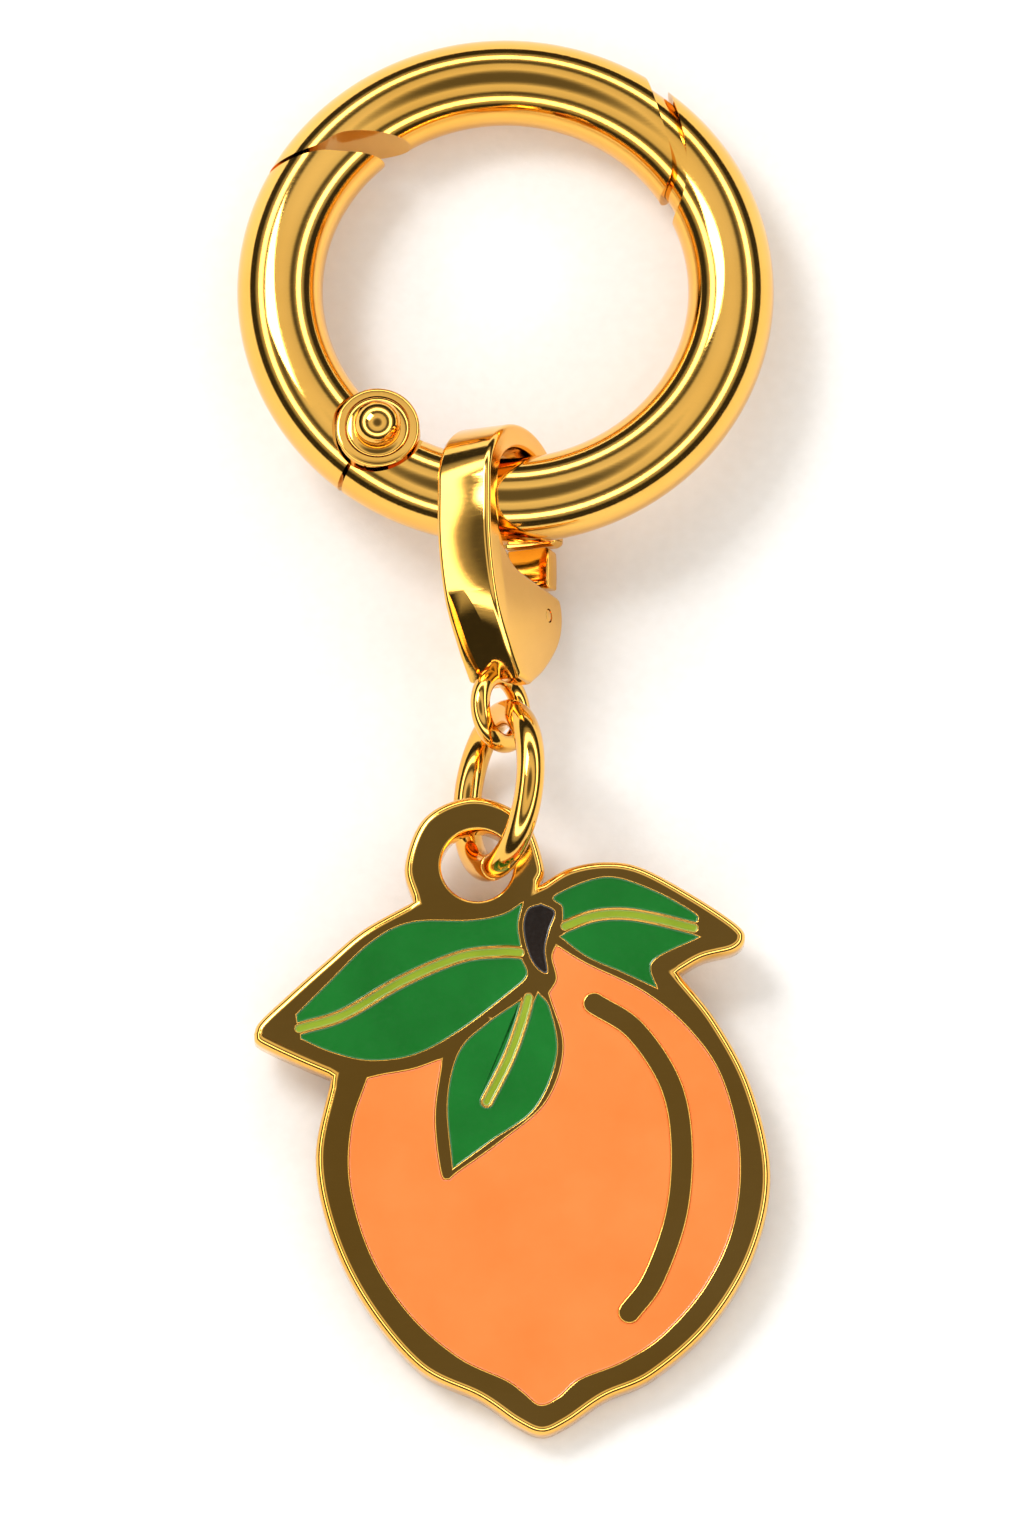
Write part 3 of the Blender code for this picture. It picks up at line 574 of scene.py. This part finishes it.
def helix_path(middle, radius, heights, turns, steps_per_turn=40):
    count = round(turns * steps_per_turn)
    path = []
    for index in range(count + 1):
        point = Vector(middle) + radius * direction(360 * turns * index / count)
        path.append(Vector((*point, heights[0] + (heights[1] - heights[0]) * index / count)))
    return path


# Solids


def solid(bm):
    """A mesh object, in millimetres, from the bmesh."""
    bmesh.ops.recalc_face_normals(bm, faces=bm.faces)
    mesh = bpy.data.meshes.new("shape")
    bm.to_mesh(mesh)
    bm.free()
    obj = bpy.data.objects.new("shape", mesh)
    bpy.context.scene.collection.objects.link(obj)
    return obj


def slab(*loops, levels):
    """Solids from outlines: levels are (inset, height) pairs from the bottom to the top."""
    bm = bmesh.new()
    for loop in loops:
        rings = []
        for distance, height in levels:
            rings.append([bm.verts.new((*point, height)) for point in inset(loop, distance)])
        count = len(loop)
        for low, high in zip(rings, rings[1:]):
            for a in range(count):
                b = (a + 1) % count
                bm.faces.new((low[a], low[b], high[b], high[a]))
        bm.faces.new(rings[0][::-1])
        bm.faces.new(rings[-1])
    return solid(bm)


def lathe(profile, middle=(0.0, 0.0), steps=96):
    """A solid turned about z through the middle. Its (radius, height) pairs run upwards."""
    bm = bmesh.new()
    rings = []
    for radius, height in profile:
        if radius == 0:
            rings.append([bm.verts.new((*middle, height))])
            continue
        rings.append([bm.verts.new((*point, height)) for point in circle(middle, radius, steps)])
    for low, high in zip(rings, rings[1:]):
        for a in range(steps):
            b = (a + 1) % steps
            corners = [low[a % len(low)], low[b % len(low)], high[b % len(high)], high[a % len(high)]]
            bm.faces.new(list(dict.fromkeys(corners)))
    return solid(bm)


def pin(radius, heights, middle):
    return lathe(((0, heights[0]), (radius, heights[0]), (radius, heights[1]), (0, heights[1])), middle)


def round_pin(radius, half_height, rounding, middle, steps=96):
    """A pin with rounded ends, as long above z = 0 as below it."""
    side = [(radius - d, h) for d, h in rounded_both_ways(rounding, half_height)]
    return lathe([(0, -half_height), *side, (0, half_height)], middle, steps)


def tube(path, radius, sides=TUBE_SIDES, closed=False, end_rounding=0.0, rounding_steps=4):
    """A round tube along a path that never runs along z. Open ends can have a small rounding."""
    bm = bmesh.new()
    path = [Vector(point) for point in path]
    radii = [radius] * len(path)
    if end_rounding:
        for step in range(1, rounding_steps + 1):
            turn = radians(90 * step / rounding_steps)
            advance = sin(turn) - sin(turn - radians(90 / rounding_steps))
            end_radius = radius - end_rounding * (1 - cos(turn))
            first, last = path[0], path[-1]
            path.insert(0, first + (first - path[1]).normalized() * end_rounding * advance)
            path.append(last + (last - path[-2]).normalized() * end_rounding * advance)
            radii = [end_radius, *radii, end_radius]
    rings = []
    for index, point in enumerate(path):
        before = path[index - 1] if index or closed else point
        after = path[(index + 1) % len(path)] if index < len(path) - 1 or closed else point
        along = (after - before).normalized()
        side = along.cross(Vector((0, 0, 1))).normalized()
        up = side.cross(along)
        ring = []
        for step in range(sides):
            turn = 2 * pi * step / sides
            ring.append(bm.verts.new(point + radii[index] * (cos(turn) * side + sin(turn) * up)))
        rings.append(ring)
    spans = list(zip(rings, rings[1:]))
    if closed:
        spans.append((rings[-1], rings[0]))
    for start, end in spans:
        for a in range(sides):
            b = (a + 1) % sides
            bm.faces.new((start[a], start[b], end[b], end[a]))
    if not closed:
        bm.faces.new(rings[0][::-1])
        bm.faces.new(rings[-1])
    return solid(bm)


def reshape(obj, matrix):
    """Transforms the mesh and turns its faces outwards again, so that the matrix may mirror it."""
    bm = bmesh.new()
    bm.from_mesh(obj.data)
    bmesh.ops.transform(bm, matrix=matrix, verts=bm.verts)
    bmesh.ops.recalc_face_normals(bm, faces=bm.faces)
    bm.to_mesh(obj.data)
    bm.free()


def combine(obj, other, operation="DIFFERENCE"):
    """The object's mesh becomes the result of the Boolean, and the other object goes."""
    modifier = obj.modifiers.new("combine", "BOOLEAN")
    modifier.operation = operation
    modifier.solver = "EXACT"
    modifier.object = other
    graph = bpy.context.evaluated_depsgraph_get()
    mesh = bpy.data.meshes.new_from_object(obj.evaluated_get(graph))
    obj.modifiers.clear()
    obj.data = mesh
    bpy.data.objects.remove(other)
    return obj


def fuse(obj, other):
    return combine(obj, other, "UNION")


def axes_at(origin, columns):
    turn = Matrix([Vector(column).normalized() for column in columns]).transposed()
    return Matrix.Translation(Vector(origin)) @ turn.to_4x4()


def lean_about_x(degrees):
    """The axes of a frame whose +Y end is raised by an angle."""
    rise = radians(degrees)
    return (1, 0, 0), (0, cos(rise), sin(rise)), (0, -sin(rise), cos(rise))


def place(obj, node, axes, material, crease=38.0, weighted=False):
    """Puts the finished piece in the frame, in metres, where it stands for its CAD node."""
    body = frame["nodes"][node]["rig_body"]
    obj.name = node + "_finish"
    obj.data.name = obj.name
    obj.data.transform(Matrix.Scale(MM, 4) @ axes)
    obj.data.materials.clear()
    obj.data.materials.append(material)
    obj.data.shade_smooth()
    obj.data.set_sharp_from_angle(angle=radians(crease))
    if weighted:
        modifier = obj.modifiers.new("flat_faces_stay_flat", "WEIGHTED_NORMAL")
        modifier.weight = 100
        modifier.keep_sharp = True
    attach(obj, body)
    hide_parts(node)
    return obj


# Finishes


class Finish:
    """A material with its node tree and the few node helpers that the finishes share."""

    def __init__(self, name):
        self.material = bpy.data.materials.new(name)
        self.material.use_nodes = True
        self.nodes = self.material.node_tree.nodes
        self.links = self.material.node_tree.links
        self.shader = self.nodes["Principled BSDF"]
        self.place = self.nodes.new("ShaderNodeTexCoord").outputs["Object"]

    def set(self, **values):
        for name, value in values.items():
            self.shader.inputs[name.replace("_", " ")].default_value = value

    def noise(self, scale, detail=3.0, roughness=0.55, stretch=None):
        node = self.nodes.new("ShaderNodeTexNoise")
        node.inputs["Scale"].default_value = scale
        node.inputs["Detail"].default_value = detail
        node.inputs["Roughness"].default_value = roughness
        where = self.place
        if stretch:
            mapping = self.nodes.new("ShaderNodeMapping")
            mapping.inputs["Scale"].default_value = stretch
            self.links.new(where, mapping.inputs["Vector"])
            where = mapping.outputs["Vector"]
        self.links.new(where, node.inputs["Vector"])
        return node.outputs["Fac"]

    def between(self, value, low, high, start=0.3, end=0.7):
        """The value, as a number that runs from low to high while the value runs from start to end."""
        node = self.nodes.new("ShaderNodeMapRange")
        self.links.new(value, node.inputs["Value"])
        for name, number in (("From Min", start), ("From Max", end), ("To Min", low), ("To Max", high)):
            node.inputs[name].default_value = number
        return node.outputs["Result"]

    def colours(self, value, *stops):
        """A colour ramp along the value, from (place, colour) stops."""
        node = self.nodes.new("ShaderNodeValToRGB")
        elements = node.color_ramp.elements
        while len(elements) < len(stops):
            elements.new(0.5)
        for element, (at, colour) in zip(elements, stops):
            element.position = at
            element.color = (*colour, 1.0)
        self.links.new(value, node.inputs["Fac"])
        return node.outputs["Color"]

    def bump(self, *layers):
        """Relief from (height value, depth in metres) layers, one on top of the other."""
        normal = None
        for height, depth in layers:
            node = self.nodes.new("ShaderNodeBump")
            node.inputs["Distance"].default_value = depth
            self.links.new(height, node.inputs["Height"])
            if normal:
                self.links.new(normal, node.inputs["Normal"])
            normal = node.outputs["Normal"]
        self.links.new(normal, self.shader.inputs["Normal"])

    def drive(self, name, value):
        self.links.new(value, self.shader.inputs[name])


def gold_finish():
    """Mirror-polished gold plating: slight tone changes, hairline scratches and soft polishing waves."""
    gold = Finish("polished_gold_plate")
    gold.set(Metallic=1.0)
    tone = gold.noise(scale=90.0, detail=4.0)
    gold.drive("Base Color", gold.colours(tone, (0.3, GOLD_DEEP), (0.7, GOLD_PALE)))
    hairlines = gold.noise(scale=900.0, detail=5.0, roughness=0.7, stretch=(1.0, 14.0, 3.0))
    gold.drive("Roughness", gold.between(hairlines, low=0.045, high=0.13, start=0.35, end=0.75))
    waves = gold.noise(scale=160.0, detail=1.5)
    gold.bump((waves, 0.000012), (hairlines, 0.0000012))
    return gold.material


def enamel_finish(name, deep, pale):
    """Hard enamel: fired colour with faint clouding and pigment specks, polished level with its walls."""
    enamel = Finish(name)
    enamel.set(Metallic=0.0, IOR=1.52, Coat_Weight=0.6, Coat_Roughness=0.04)
    clouds = enamel.noise(scale=220.0, detail=4.0)
    enamel.drive("Base Color", enamel.colours(clouds, (0.3, deep), (0.72, pale)))
    specks = enamel.noise(scale=6000.0, detail=2.0)
    enamel.drive("Roughness", enamel.between(specks, low=0.12, high=0.26))
    waves = enamel.noise(scale=420.0, detail=1.0)
    enamel.bump((waves, 0.000008), (specks, 0.0000015))
    return enamel.material


def steel_finish():
    """Drawn spring steel, with fine lines along the wire and a dull oil film."""
    steel = Finish("drawn_spring_steel")
    steel.set(Metallic=1.0)
    film = steel.noise(scale=700.0, detail=4.0)
    steel.drive("Base Color", steel.colours(film, (0.3, (0.36, 0.36, 0.38)), (0.7, (0.62, 0.61, 0.6))))
    lines = steel.noise(scale=5000.0, detail=3.0)
    steel.drive("Roughness", steel.between(lines, low=0.2, high=0.42))
    steel.bump((lines, 0.000003))
    return steel.material


# Spring-gate ring


def gate_seam(lip, reach):
    """The seam at the gate's nose, as a curve about the pivot. Past its middle the reach grows by the lip."""
    curve = []
    for index in range(NOSE_SEAM_POINTS):
        angle = NOSE_SEAM_START - NOSE_SEAM_SPACING * index
        share = 1 / (1 + exp((angle - NOSE_SEAM_MIDDLE) * NOSE_SEAM_STEEPNESS))
        curve.append(PIVOT + (reach + lip * share) * direction(angle))
    return curve


def build_ring():
    axes = axes_at(RING_CENTRE, lean_about_x(-RING_LEAN))
    body = tube(arc_path(RING_RADIUS, PIVOT_ANGLE + PIVOT_CLEARANCE, BODY_END), TUBE_RADIUS)
    fuse(body, round_pin(KNUCKLE_RADIUS, KNUCKLE_HALF_HEIGHT, KNUCKLE_ROUNDING, PIVOT))
    combine(body, slab(joined(smooth_run(BODY_SEAM), vectors(BEYOND_BODY)), levels=THROUGH_TUBE))
    combine(body, pin(KNUCKLE_SLOT_RADIUS, KNUCKLE_SLOT, PIVOT))
    groove_in = KNUCKLE_RADIUS - KNUCKLE_GROOVE_DEPTH
    groove_out = KNUCKLE_RADIUS + KNUCKLE_GROOVE_WIDTH
    for start, end in ((KNUCKLE_GROOVE_START, CUTTER_END), (-CUTTER_END, -KNUCKLE_GROOVE_START)):
        groove = pin(groove_out, (start, end), PIVOT)
        combine(groove, pin(groove_in, (start - OVERRUN, end + OVERRUN), PIVOT))
        combine(body, groove)
    bore = (
        (0, -CUTTER_END),
        (RIVET_HOLE_RADIUS, -CUTTER_END),
        (RIVET_HOLE_RADIUS, POCKET_FLOOR),
        (WASHER_POCKET_RADIUS, POCKET_FLOOR),
        (WASHER_POCKET_RADIUS, CUTTER_END),
        (0, CUTTER_END),
    )
    combine(body, lathe(bore, PIVOT))

    top_arc = tube(arc_path(RING_RADIUS, *TOP_ARC_SPAN), TUBE_RADIUS)
    nose_seam = gate_seam(TOP_ARC_NOSE_LIP, TOP_ARC_NOSE_RADIUS)
    combine(top_arc, slab(joined(nose_seam, [PIVOT]), levels=THROUGH_TUBE))
    combine(top_arc, slab(joined(smooth_run(TOP_ARC_SEAM), vectors(BEYOND_TOP_ARC)), levels=THROUGH_TUBE))
    for part in (body, top_arc):
        combine(part, tube(arc_path(RING_RADIUS, *SPIGOT_BORE_SPAN), SPIGOT_RADIUS + SPIGOT_GAP))
    place(body, "ring_body", axes, GOLD)
    place(top_arc, "ring_top_arc", axes, GOLD)
    spigot = tube(arc_path(RING_RADIUS, *SPIGOT_SPAN), SPIGOT_RADIUS)
    place(spigot, "ring_joint_pin", axes, GOLD)

    gate = tube(arc_path(RING_RADIUS, GATE_START, PIVOT_ANGLE - PIVOT_CLEARANCE), TUBE_RADIUS)
    nose_seam = gate_seam(GATE_NOSE_LIP, GATE_NOSE_RADIUS)
    beyond = [PIVOT + BEYOND_NOSE_RADIUS * direction(angle) for angle in BEYOND_NOSE_ANGLES]
    combine(gate, slab(joined(nose_seam, beyond), levels=THROUGH_TUBE))
    combine(gate, pin(GATE_RELIEF_RADIUS, (-CUTTER_END, CUTTER_END), PIVOT))
    neck_end = RING_RADIUS * direction(PIVOT_ANGLE - TONGUE_REACH)
    neck = (tuple(PIVOT), tuple((PIVOT + neck_end) / 2), tuple(neck_end))
    fuse(gate, slab(ribbon(neck, TONGUE_HALF_WIDTH), levels=TONGUE_LEVELS))
    combine(gate, pin(RIVET_HOLE_RADIUS, PIN_CUTTER, PIVOT))
    place(gate, "ring_gate", axes, GOLD)

    place(rivet(), "gate_rivet", axes, GOLD)
    place(washer(), "gate_washer", axes, GOLD)
    heights = (TONGUE[1] + GATE_SPRING_CLEARANCE, KNUCKLE_SLOT[1] - GATE_SPRING_CLEARANCE)
    coil = helix_path(PIVOT, GATE_SPRING_RADIUS, heights, turns=2.5)
    spring = tube(coil, GATE_SPRING_WIRE, sides=20, end_rounding=0.04)
    place(spring, "gate_spring", axes, STEEL)


def rivet():
    """The rivet: a flat lower head, a shank, and a full dome on a short neck."""
    dome_base = WASHER_SEAT + WASHER_THICKNESS + RIVET_PLAY
    foot = -KNUCKLE_HALF_HEIGHT - RIVET_PLAY
    profile = [(radius, foot + height) for radius, height in RIVET_FOOT]
    profile += [(RIVET_RADIUS, foot), (RIVET_RADIUS, dome_base), (HEAD_RADIUS * HEAD_NECK_SHARE, dome_base)]
    dome_height = HEAD_RADIUS * DOME_FLATTENING
    for degrees in range(DOME_START, 90, 5):
        rise = DOME_MIDDLE + dome_height * sin(radians(degrees))
        profile.append((HEAD_RADIUS * cos(radians(degrees)), dome_base + rise))
    profile.append((0, dome_base + DOME_MIDDLE + dome_height))
    return lathe(profile, PIVOT, 80)


def washer():
    """The collar under the dome, with a rounded top."""
    half = (WASHER_RADIUS - RIVET_HOLE_RADIUS) / 2
    section = [(-half, 0.0), (half, 0.0)]
    for step in range(13):
        turn = radians(15 * step)
        share = WASHER_UPRIGHT_SHARE + WASHER_CROWN_SHARE * sin(turn)
        section.append((half * cos(turn), WASHER_THICKNESS * share))
    bm = bmesh.new()
    rows = []
    for point in circle(PIVOT, RIVET_HOLE_RADIUS + half, 96):
        outward = (point - PIVOT).normalized()
        row = [(*(point + outward * across), WASHER_SEAT + up) for across, up in section]
        rows.append([bm.verts.new(corner) for corner in row])
    for row, following in zip(rows, rows[1:] + rows[:1]):
        for a in range(len(section)):
            b = (a + 1) % len(section)
            bm.faces.new((row[a], row[b], following[b], following[a]))
    return solid(bm)


# Lobster clasp


def hook_arc(half_length, half_width, start, end, steps=56):
    arc = []
    for step in range(steps + 1):
        turn = radians(start + (end - start) * step / steps)
        arc.append(Vector((HOOK_MIDDLE + half_length * cos(turn), half_width * sin(turn))))
    return arc


def clasp_outline():
    outside = hook_arc(*HOOK_OUTSIDE, -90, 90)
    spine = smooth_run(CLASP_SPINE)
    belly = smooth_run(CLASP_BELLY)
    throat = smooth_run(CLASP_THROAT)
    inside = hook_arc(*HOOK_INSIDE, 90, -90)
    tip = smooth_run(HOOK_TIP_INSIDE) + smooth_run(HOOK_TIP_OUTSIDE)
    return joined(outside, spine, belly, throat, inside, tip)


def build_clasp():
    side = radians(CLASP_LEAN)
    axes = axes_at(CLASP_ORIGIN, ((0, 1, 0), (-sin(side), 0, cos(side)), (cos(side), 0, sin(side))))
    half = CLASP_THICKNESS / 2
    body = slab(clasp_outline(), levels=rounded_both_ways(CLASP_ROUNDING, half, steps=6))
    eye = tube(flat_circle_path(EYE_RADIUS, degrees_per_step=3), EYE_WIRE, EYE_SIDES, closed=True)
    turn = Matrix.Rotation(radians(EYE_TURN), 4, "X")
    eye.data.transform(Matrix.Translation((EYE_CENTRE, 0, 0)) @ turn)
    fuse(body, eye)
    slot = joined(smooth_run(SLOT_TOP), vectors(BEYOND_SLOT))
    combine(body, slab(slot, levels=((0, LEVER_SLOT[0]), (0, LEVER_SLOT[1]))))
    recess = slab(joined(smooth_run(RECESS_LEFT), smooth_run(RECESS_RIDGE)), levels=RECESS_LEVELS)
    # The recess is turned to face the spine, so its levels are heights over a straight line along the spine.
    slope = (CLASP_SPINE[2][1] - CLASP_SPINE[-1][1]) / (CLASP_SPINE[2][0] - CLASP_SPINE[-1][0])
    foot = CLASP_SPINE[-1][1] - slope * CLASP_SPINE[-1][0]
    reshape(recess, Matrix(((1, 0, 0, 0), (slope, 0, 1, foot), (0, 1, 0, 0), (0, 0, 0, 1))))
    combine(body, recess)
    bore = LEVER_PIN_RADIUS + PIN_GAP
    combine(body, pin(bore, PIN_CUTTER, LEVER_PIVOT))
    place(body, "clasp_body", axes, GOLD, crease=30.0)

    lever = slab(joined(smooth_run(ARM_TOP), smooth_run(ARM_BOTTOM)), levels=ARM_LEVELS)
    head = joined(smooth_run(HEAD_TOP), smooth_run(HEAD_BOTTOM))
    fuse(lever, slab(head, levels=rounded_both_ways(HEAD_ROUNDING, HEAD_HALF_WIDTH)))
    combine(lever, pin(bore, PIN_CUTTER, LEVER_PIVOT))
    place(lever, "clasp_lever", axes, GOLD)

    rod = round_pin(LEVER_PIN_RADIUS, half - LEVER_PIN_RECESS, LEVER_PIN_ROUNDING, LEVER_PIVOT, 48)
    place(rod, "lever_pin", axes, GOLD)
    coil = helix_path(LEVER_PIVOT, LEVER_SPRING_RADIUS, LEVER_SPRING_HEIGHTS, turns=2.25)
    spring = tube(coil, LEVER_SPRING_WIRE, sides=16, end_rounding=0.02)
    place(spring, "lever_spring", axes, STEEL)


def build_jump_ring():
    lean, yaw = radians(JUMP_LEAN), radians(JUMP_YAW)
    long = Vector((sin(yaw), cos(yaw), 0))
    high = Vector((cos(lean) * cos(yaw), -cos(lean) * sin(yaw), sin(lean)))
    axes = axes_at(JUMP_CENTRE, (long, high, long.cross(high)))
    rounding_angle = JUMP_ROUNDING / JUMP_RADIUS * 180 / pi
    half_cut = JUMP_CUT / 2 + rounding_angle
    path = arc_path(JUMP_RADIUS, 180.0 + half_cut, 540.0 - half_cut, JUMP_DEGREES_PER_STEP)
    ring = tube(path, JUMP_WIRE, JUMP_SIDES, end_rounding=JUMP_ROUNDING)
    place(ring, "jump_ring", axes, GOLD)


# Charm


def leaf_cells():
    """The enamel cells that hold no raised line, as node name, outline, finish and slot."""
    wall = VEIN_HALF_WIDTH + VEIN_WALL
    left_upper = joined(
        beside(LEFT_VEIN, wall), smooth_run(LEFT_UPPER_EDGE), smooth_run(LEFT_UPPER_CREST)
    )
    left_lower = joined(smooth_run(LEFT_LOWER_EDGE), beside(LEFT_VEIN, -wall)[::-1])
    right_upper = joined(beside(RIGHT_VEIN, wall), smooth_run(RIGHT_UPPER_EDGE))
    right_lower = joined(
        smooth_run(RIGHT_LOWER_EDGE), smooth_run(RIGHT_LOWER_TIP), beside(RIGHT_VEIN, -wall)[::-1]
    )
    vein_left = beside(MIDDLE_VEIN, -wall)
    vein_right = beside(MIDDLE_VEIN, wall)
    round_end = end_arc(Vector(MIDDLE_VEIN[-1]), vein_right[-1], -180)
    middle = joined(
        smooth_run(MIDDLE_LEFT_EDGE),
        smooth_run(MIDDLE_RIGHT_EDGE),
        vein_right[1:],
        round_end,
        vein_left[:0:-1],
    )
    return (
        ("left_leaf_upper_enamel", left_upper, GREEN, "green_enamel"),
        ("left_leaf_lower_enamel", left_lower, GREEN, "green_enamel"),
        ("left_vein_enamel", ribbon(LEFT_VEIN, VEIN_HALF_WIDTH), LIME, "lime_enamel"),
        ("right_leaf_upper_enamel", right_upper, GREEN, "green_enamel"),
        ("right_leaf_lower_enamel", right_lower, GREEN, "green_enamel"),
        ("right_vein_enamel", ribbon(RIGHT_VEIN, VEIN_HALF_WIDTH), LIME, "lime_enamel"),
        ("middle_leaf_enamel", middle, GREEN, "green_enamel"),
        ("middle_vein_enamel", ribbon(MIDDLE_VEIN, VEIN_HALF_WIDTH), LIME, "lime_enamel"),
        ("stem_enamel", joined(smooth_run(STEM_EDGE)), BLACK, "black_enamel"),
    )


def build_charm():
    axes = axes_at(CHARM_ORIGIN, lean_about_x(CHARM_LEAN))
    runs = (LEFT_LEAF_TOP_EDGE, BAIL_EDGE, RIGHT_LEAF_TOP_EDGE, RIGHT_SIDE_EDGE, LEFT_LEAF_BOTTOM_EDGE)
    base = slab(joined(*(smooth_run(run) for run in runs)), levels=PLATE_EDGE)

    for node, loop, finish, slot in leaf_cells():
        combine(base, slab(loop, levels=LEAF_LIP))
        place(slab(loop, levels=ENAMEL_FILL), node, axes, finish, crease=50.0, weighted=True)

    runs = (PEACH_RIGHT_EDGE, PEACH_LEAF_EDGE, PEACH_MIDDLE_LEAF_EDGE, PEACH_STEM_EDGE)
    peach = joined(*(smooth_run(run) for run in runs))
    crease = ribbon(CREASE, CREASE_HALF_WIDTH)
    cell = slab(peach, levels=PEACH_LIP)
    combine(cell, slab(crease, levels=CREASE_LIP))
    combine(base, cell)
    enamel = slab(peach, levels=ENAMEL_FILL)
    combine(enamel, slab(crease, levels=CREASE_GAP))
    place(enamel, "peach_enamel", axes, ORANGE, crease=50.0, weighted=True)

    edge = rounded(BAIL_HOLE_ROUNDING, PLATE_THICKNESS)
    lower = [(BAIL_HOLE_RADIUS + d, PLATE_THICKNESS - h) for d, h in edge[::-1]]
    upper = [(BAIL_HOLE_RADIUS + d, h) for d, h in edge]
    mouth = BAIL_HOLE_RADIUS + BAIL_HOLE_ROUNDING
    below, above = -OVERRUN, PLATE_THICKNESS + OVERRUN
    hole = [(0, below), (mouth, below), *lower, *upper, (mouth, above), (0, above)]
    combine(base, lathe(hole, BAIL_HOLE))
    place(base, "charm_base", axes, GOLD, crease=50.0, weighted=True)


# Studio


def build_world():
    """Rings of light above a dark horizon, with a dim cap overhead. The camera sees a plain backdrop."""
    world = bpy.data.worlds.new("studio")
    bpy.context.scene.world = world
    world.use_nodes = True
    nodes, links = world.node_tree.nodes, world.node_tree.links
    studio = nodes["Background"]
    output = nodes["World Output"]
    view = nodes.new("ShaderNodeTexCoord")
    split = nodes.new("ShaderNodeSeparateXYZ")
    ramp = nodes.new("ShaderNodeValToRGB")
    links.new(view.outputs["Generated"], split.inputs["Vector"])
    links.new(split.outputs["Z"], ramp.inputs["Fac"])
    elements = ramp.color_ramp.elements
    while len(elements) < len(SKY):
        elements.new(0.5)
    for element, (height, light) in zip(elements, SKY):
        element.position = height
        element.color = (*(light * share for share in SKY_TINT), 1.0)
    links.new(ramp.outputs["Color"], studio.inputs["Color"])
    studio.inputs["Strength"].default_value = SKY_STRENGTH
    backdrop = nodes.new("ShaderNodeBackground")
    backdrop.inputs["Color"].default_value = (*PAPER_PALE, 1.0)
    seen = nodes.new("ShaderNodeLightPath")
    mix = nodes.new("ShaderNodeMixShader")
    links.new(seen.outputs["Is Camera Ray"], mix.inputs["Fac"])
    links.new(studio.outputs["Background"], mix.inputs[1])
    links.new(backdrop.outputs["Background"], mix.inputs[2])
    links.new(mix.outputs["Shader"], output.inputs["Surface"])


def add_softbox(name, place_mm, size_mm, watts):
    """An area light that faces the object."""
    light = bpy.data.lights.new(name, "AREA")
    light.shape = "RECTANGLE"
    light.size, light.size_y = (side * MM for side in size_mm)
    light.energy = watts
    obj = bpy.data.objects.new(name, light)
    bpy.context.scene.collection.objects.link(obj)
    obj.location = Vector(place_mm) * MM
    obj.rotation_euler = (-Vector(place_mm)).to_track_quat("-Z", "Y").to_euler()


def add_floor():
    bm = bmesh.new()
    bmesh.ops.create_grid(bm, x_segments=8, y_segments=8, size=FLOOR_HALF_SIDE)
    floor = solid(bm)
    floor.name = "floor"
    floor.data.transform(Matrix.Scale(MM, 4))
    paper = Finish("white_paper")
    grain = paper.noise(scale=1500.0, detail=4.0)
    paper.drive("Base Color", paper.colours(grain, (0.3, PAPER_DEEP), (0.7, PAPER_PALE)))
    paper.set(Roughness=0.9)
    paper.bump((grain, 0.00002))
    floor.data.materials.append(paper.material)


def add_camera():
    data = bpy.data.cameras.new("camera")
    data.sensor_width = 36.0
    data.lens = data.sensor_width * CAMERA_DISTANCE / VIEW_HEIGHT
    data.clip_start = 0.01
    data.clip_end = 20.0
    camera = bpy.data.objects.new("camera", data)
    bpy.context.scene.collection.objects.link(camera)
    tilt = radians(CAMERA_ELEVATION)
    back = Vector((0.0, -cos(tilt), sin(tilt)))
    camera.location = (Vector(VIEW_CENTRE) + CAMERA_DISTANCE * back) * MM
    camera.rotation_euler = (-back).to_track_quat("-Z", "Y").to_euler()
    bpy.context.scene.camera = camera


GOLD = gold_finish()
STEEL = steel_finish()
ORANGE = enamel_finish("peach_orange_enamel", deep=(0.98, 0.215, 0.042), pale=(1.0, 0.25, 0.058))
GREEN = enamel_finish("leaf_green_enamel", deep=(0.003, 0.13, 0.011), pale=(0.006, 0.175, 0.019))
LIME = enamel_finish("vein_lime_enamel", deep=(0.21, 0.31, 0.013), pale=(0.29, 0.4, 0.024))
BLACK = enamel_finish("stem_black_enamel", deep=(0.006, 0.003, 0.002), pale=(0.014, 0.008, 0.005))

build_ring()
build_clasp()
build_jump_ring()
build_charm()
build_world()
add_floor()
add_camera()
add_softbox("key_softbox", KEY_PLACE, KEY_SIZE, KEY_WATTS)
bpy.context.scene.view_settings.view_transform = "Standard"
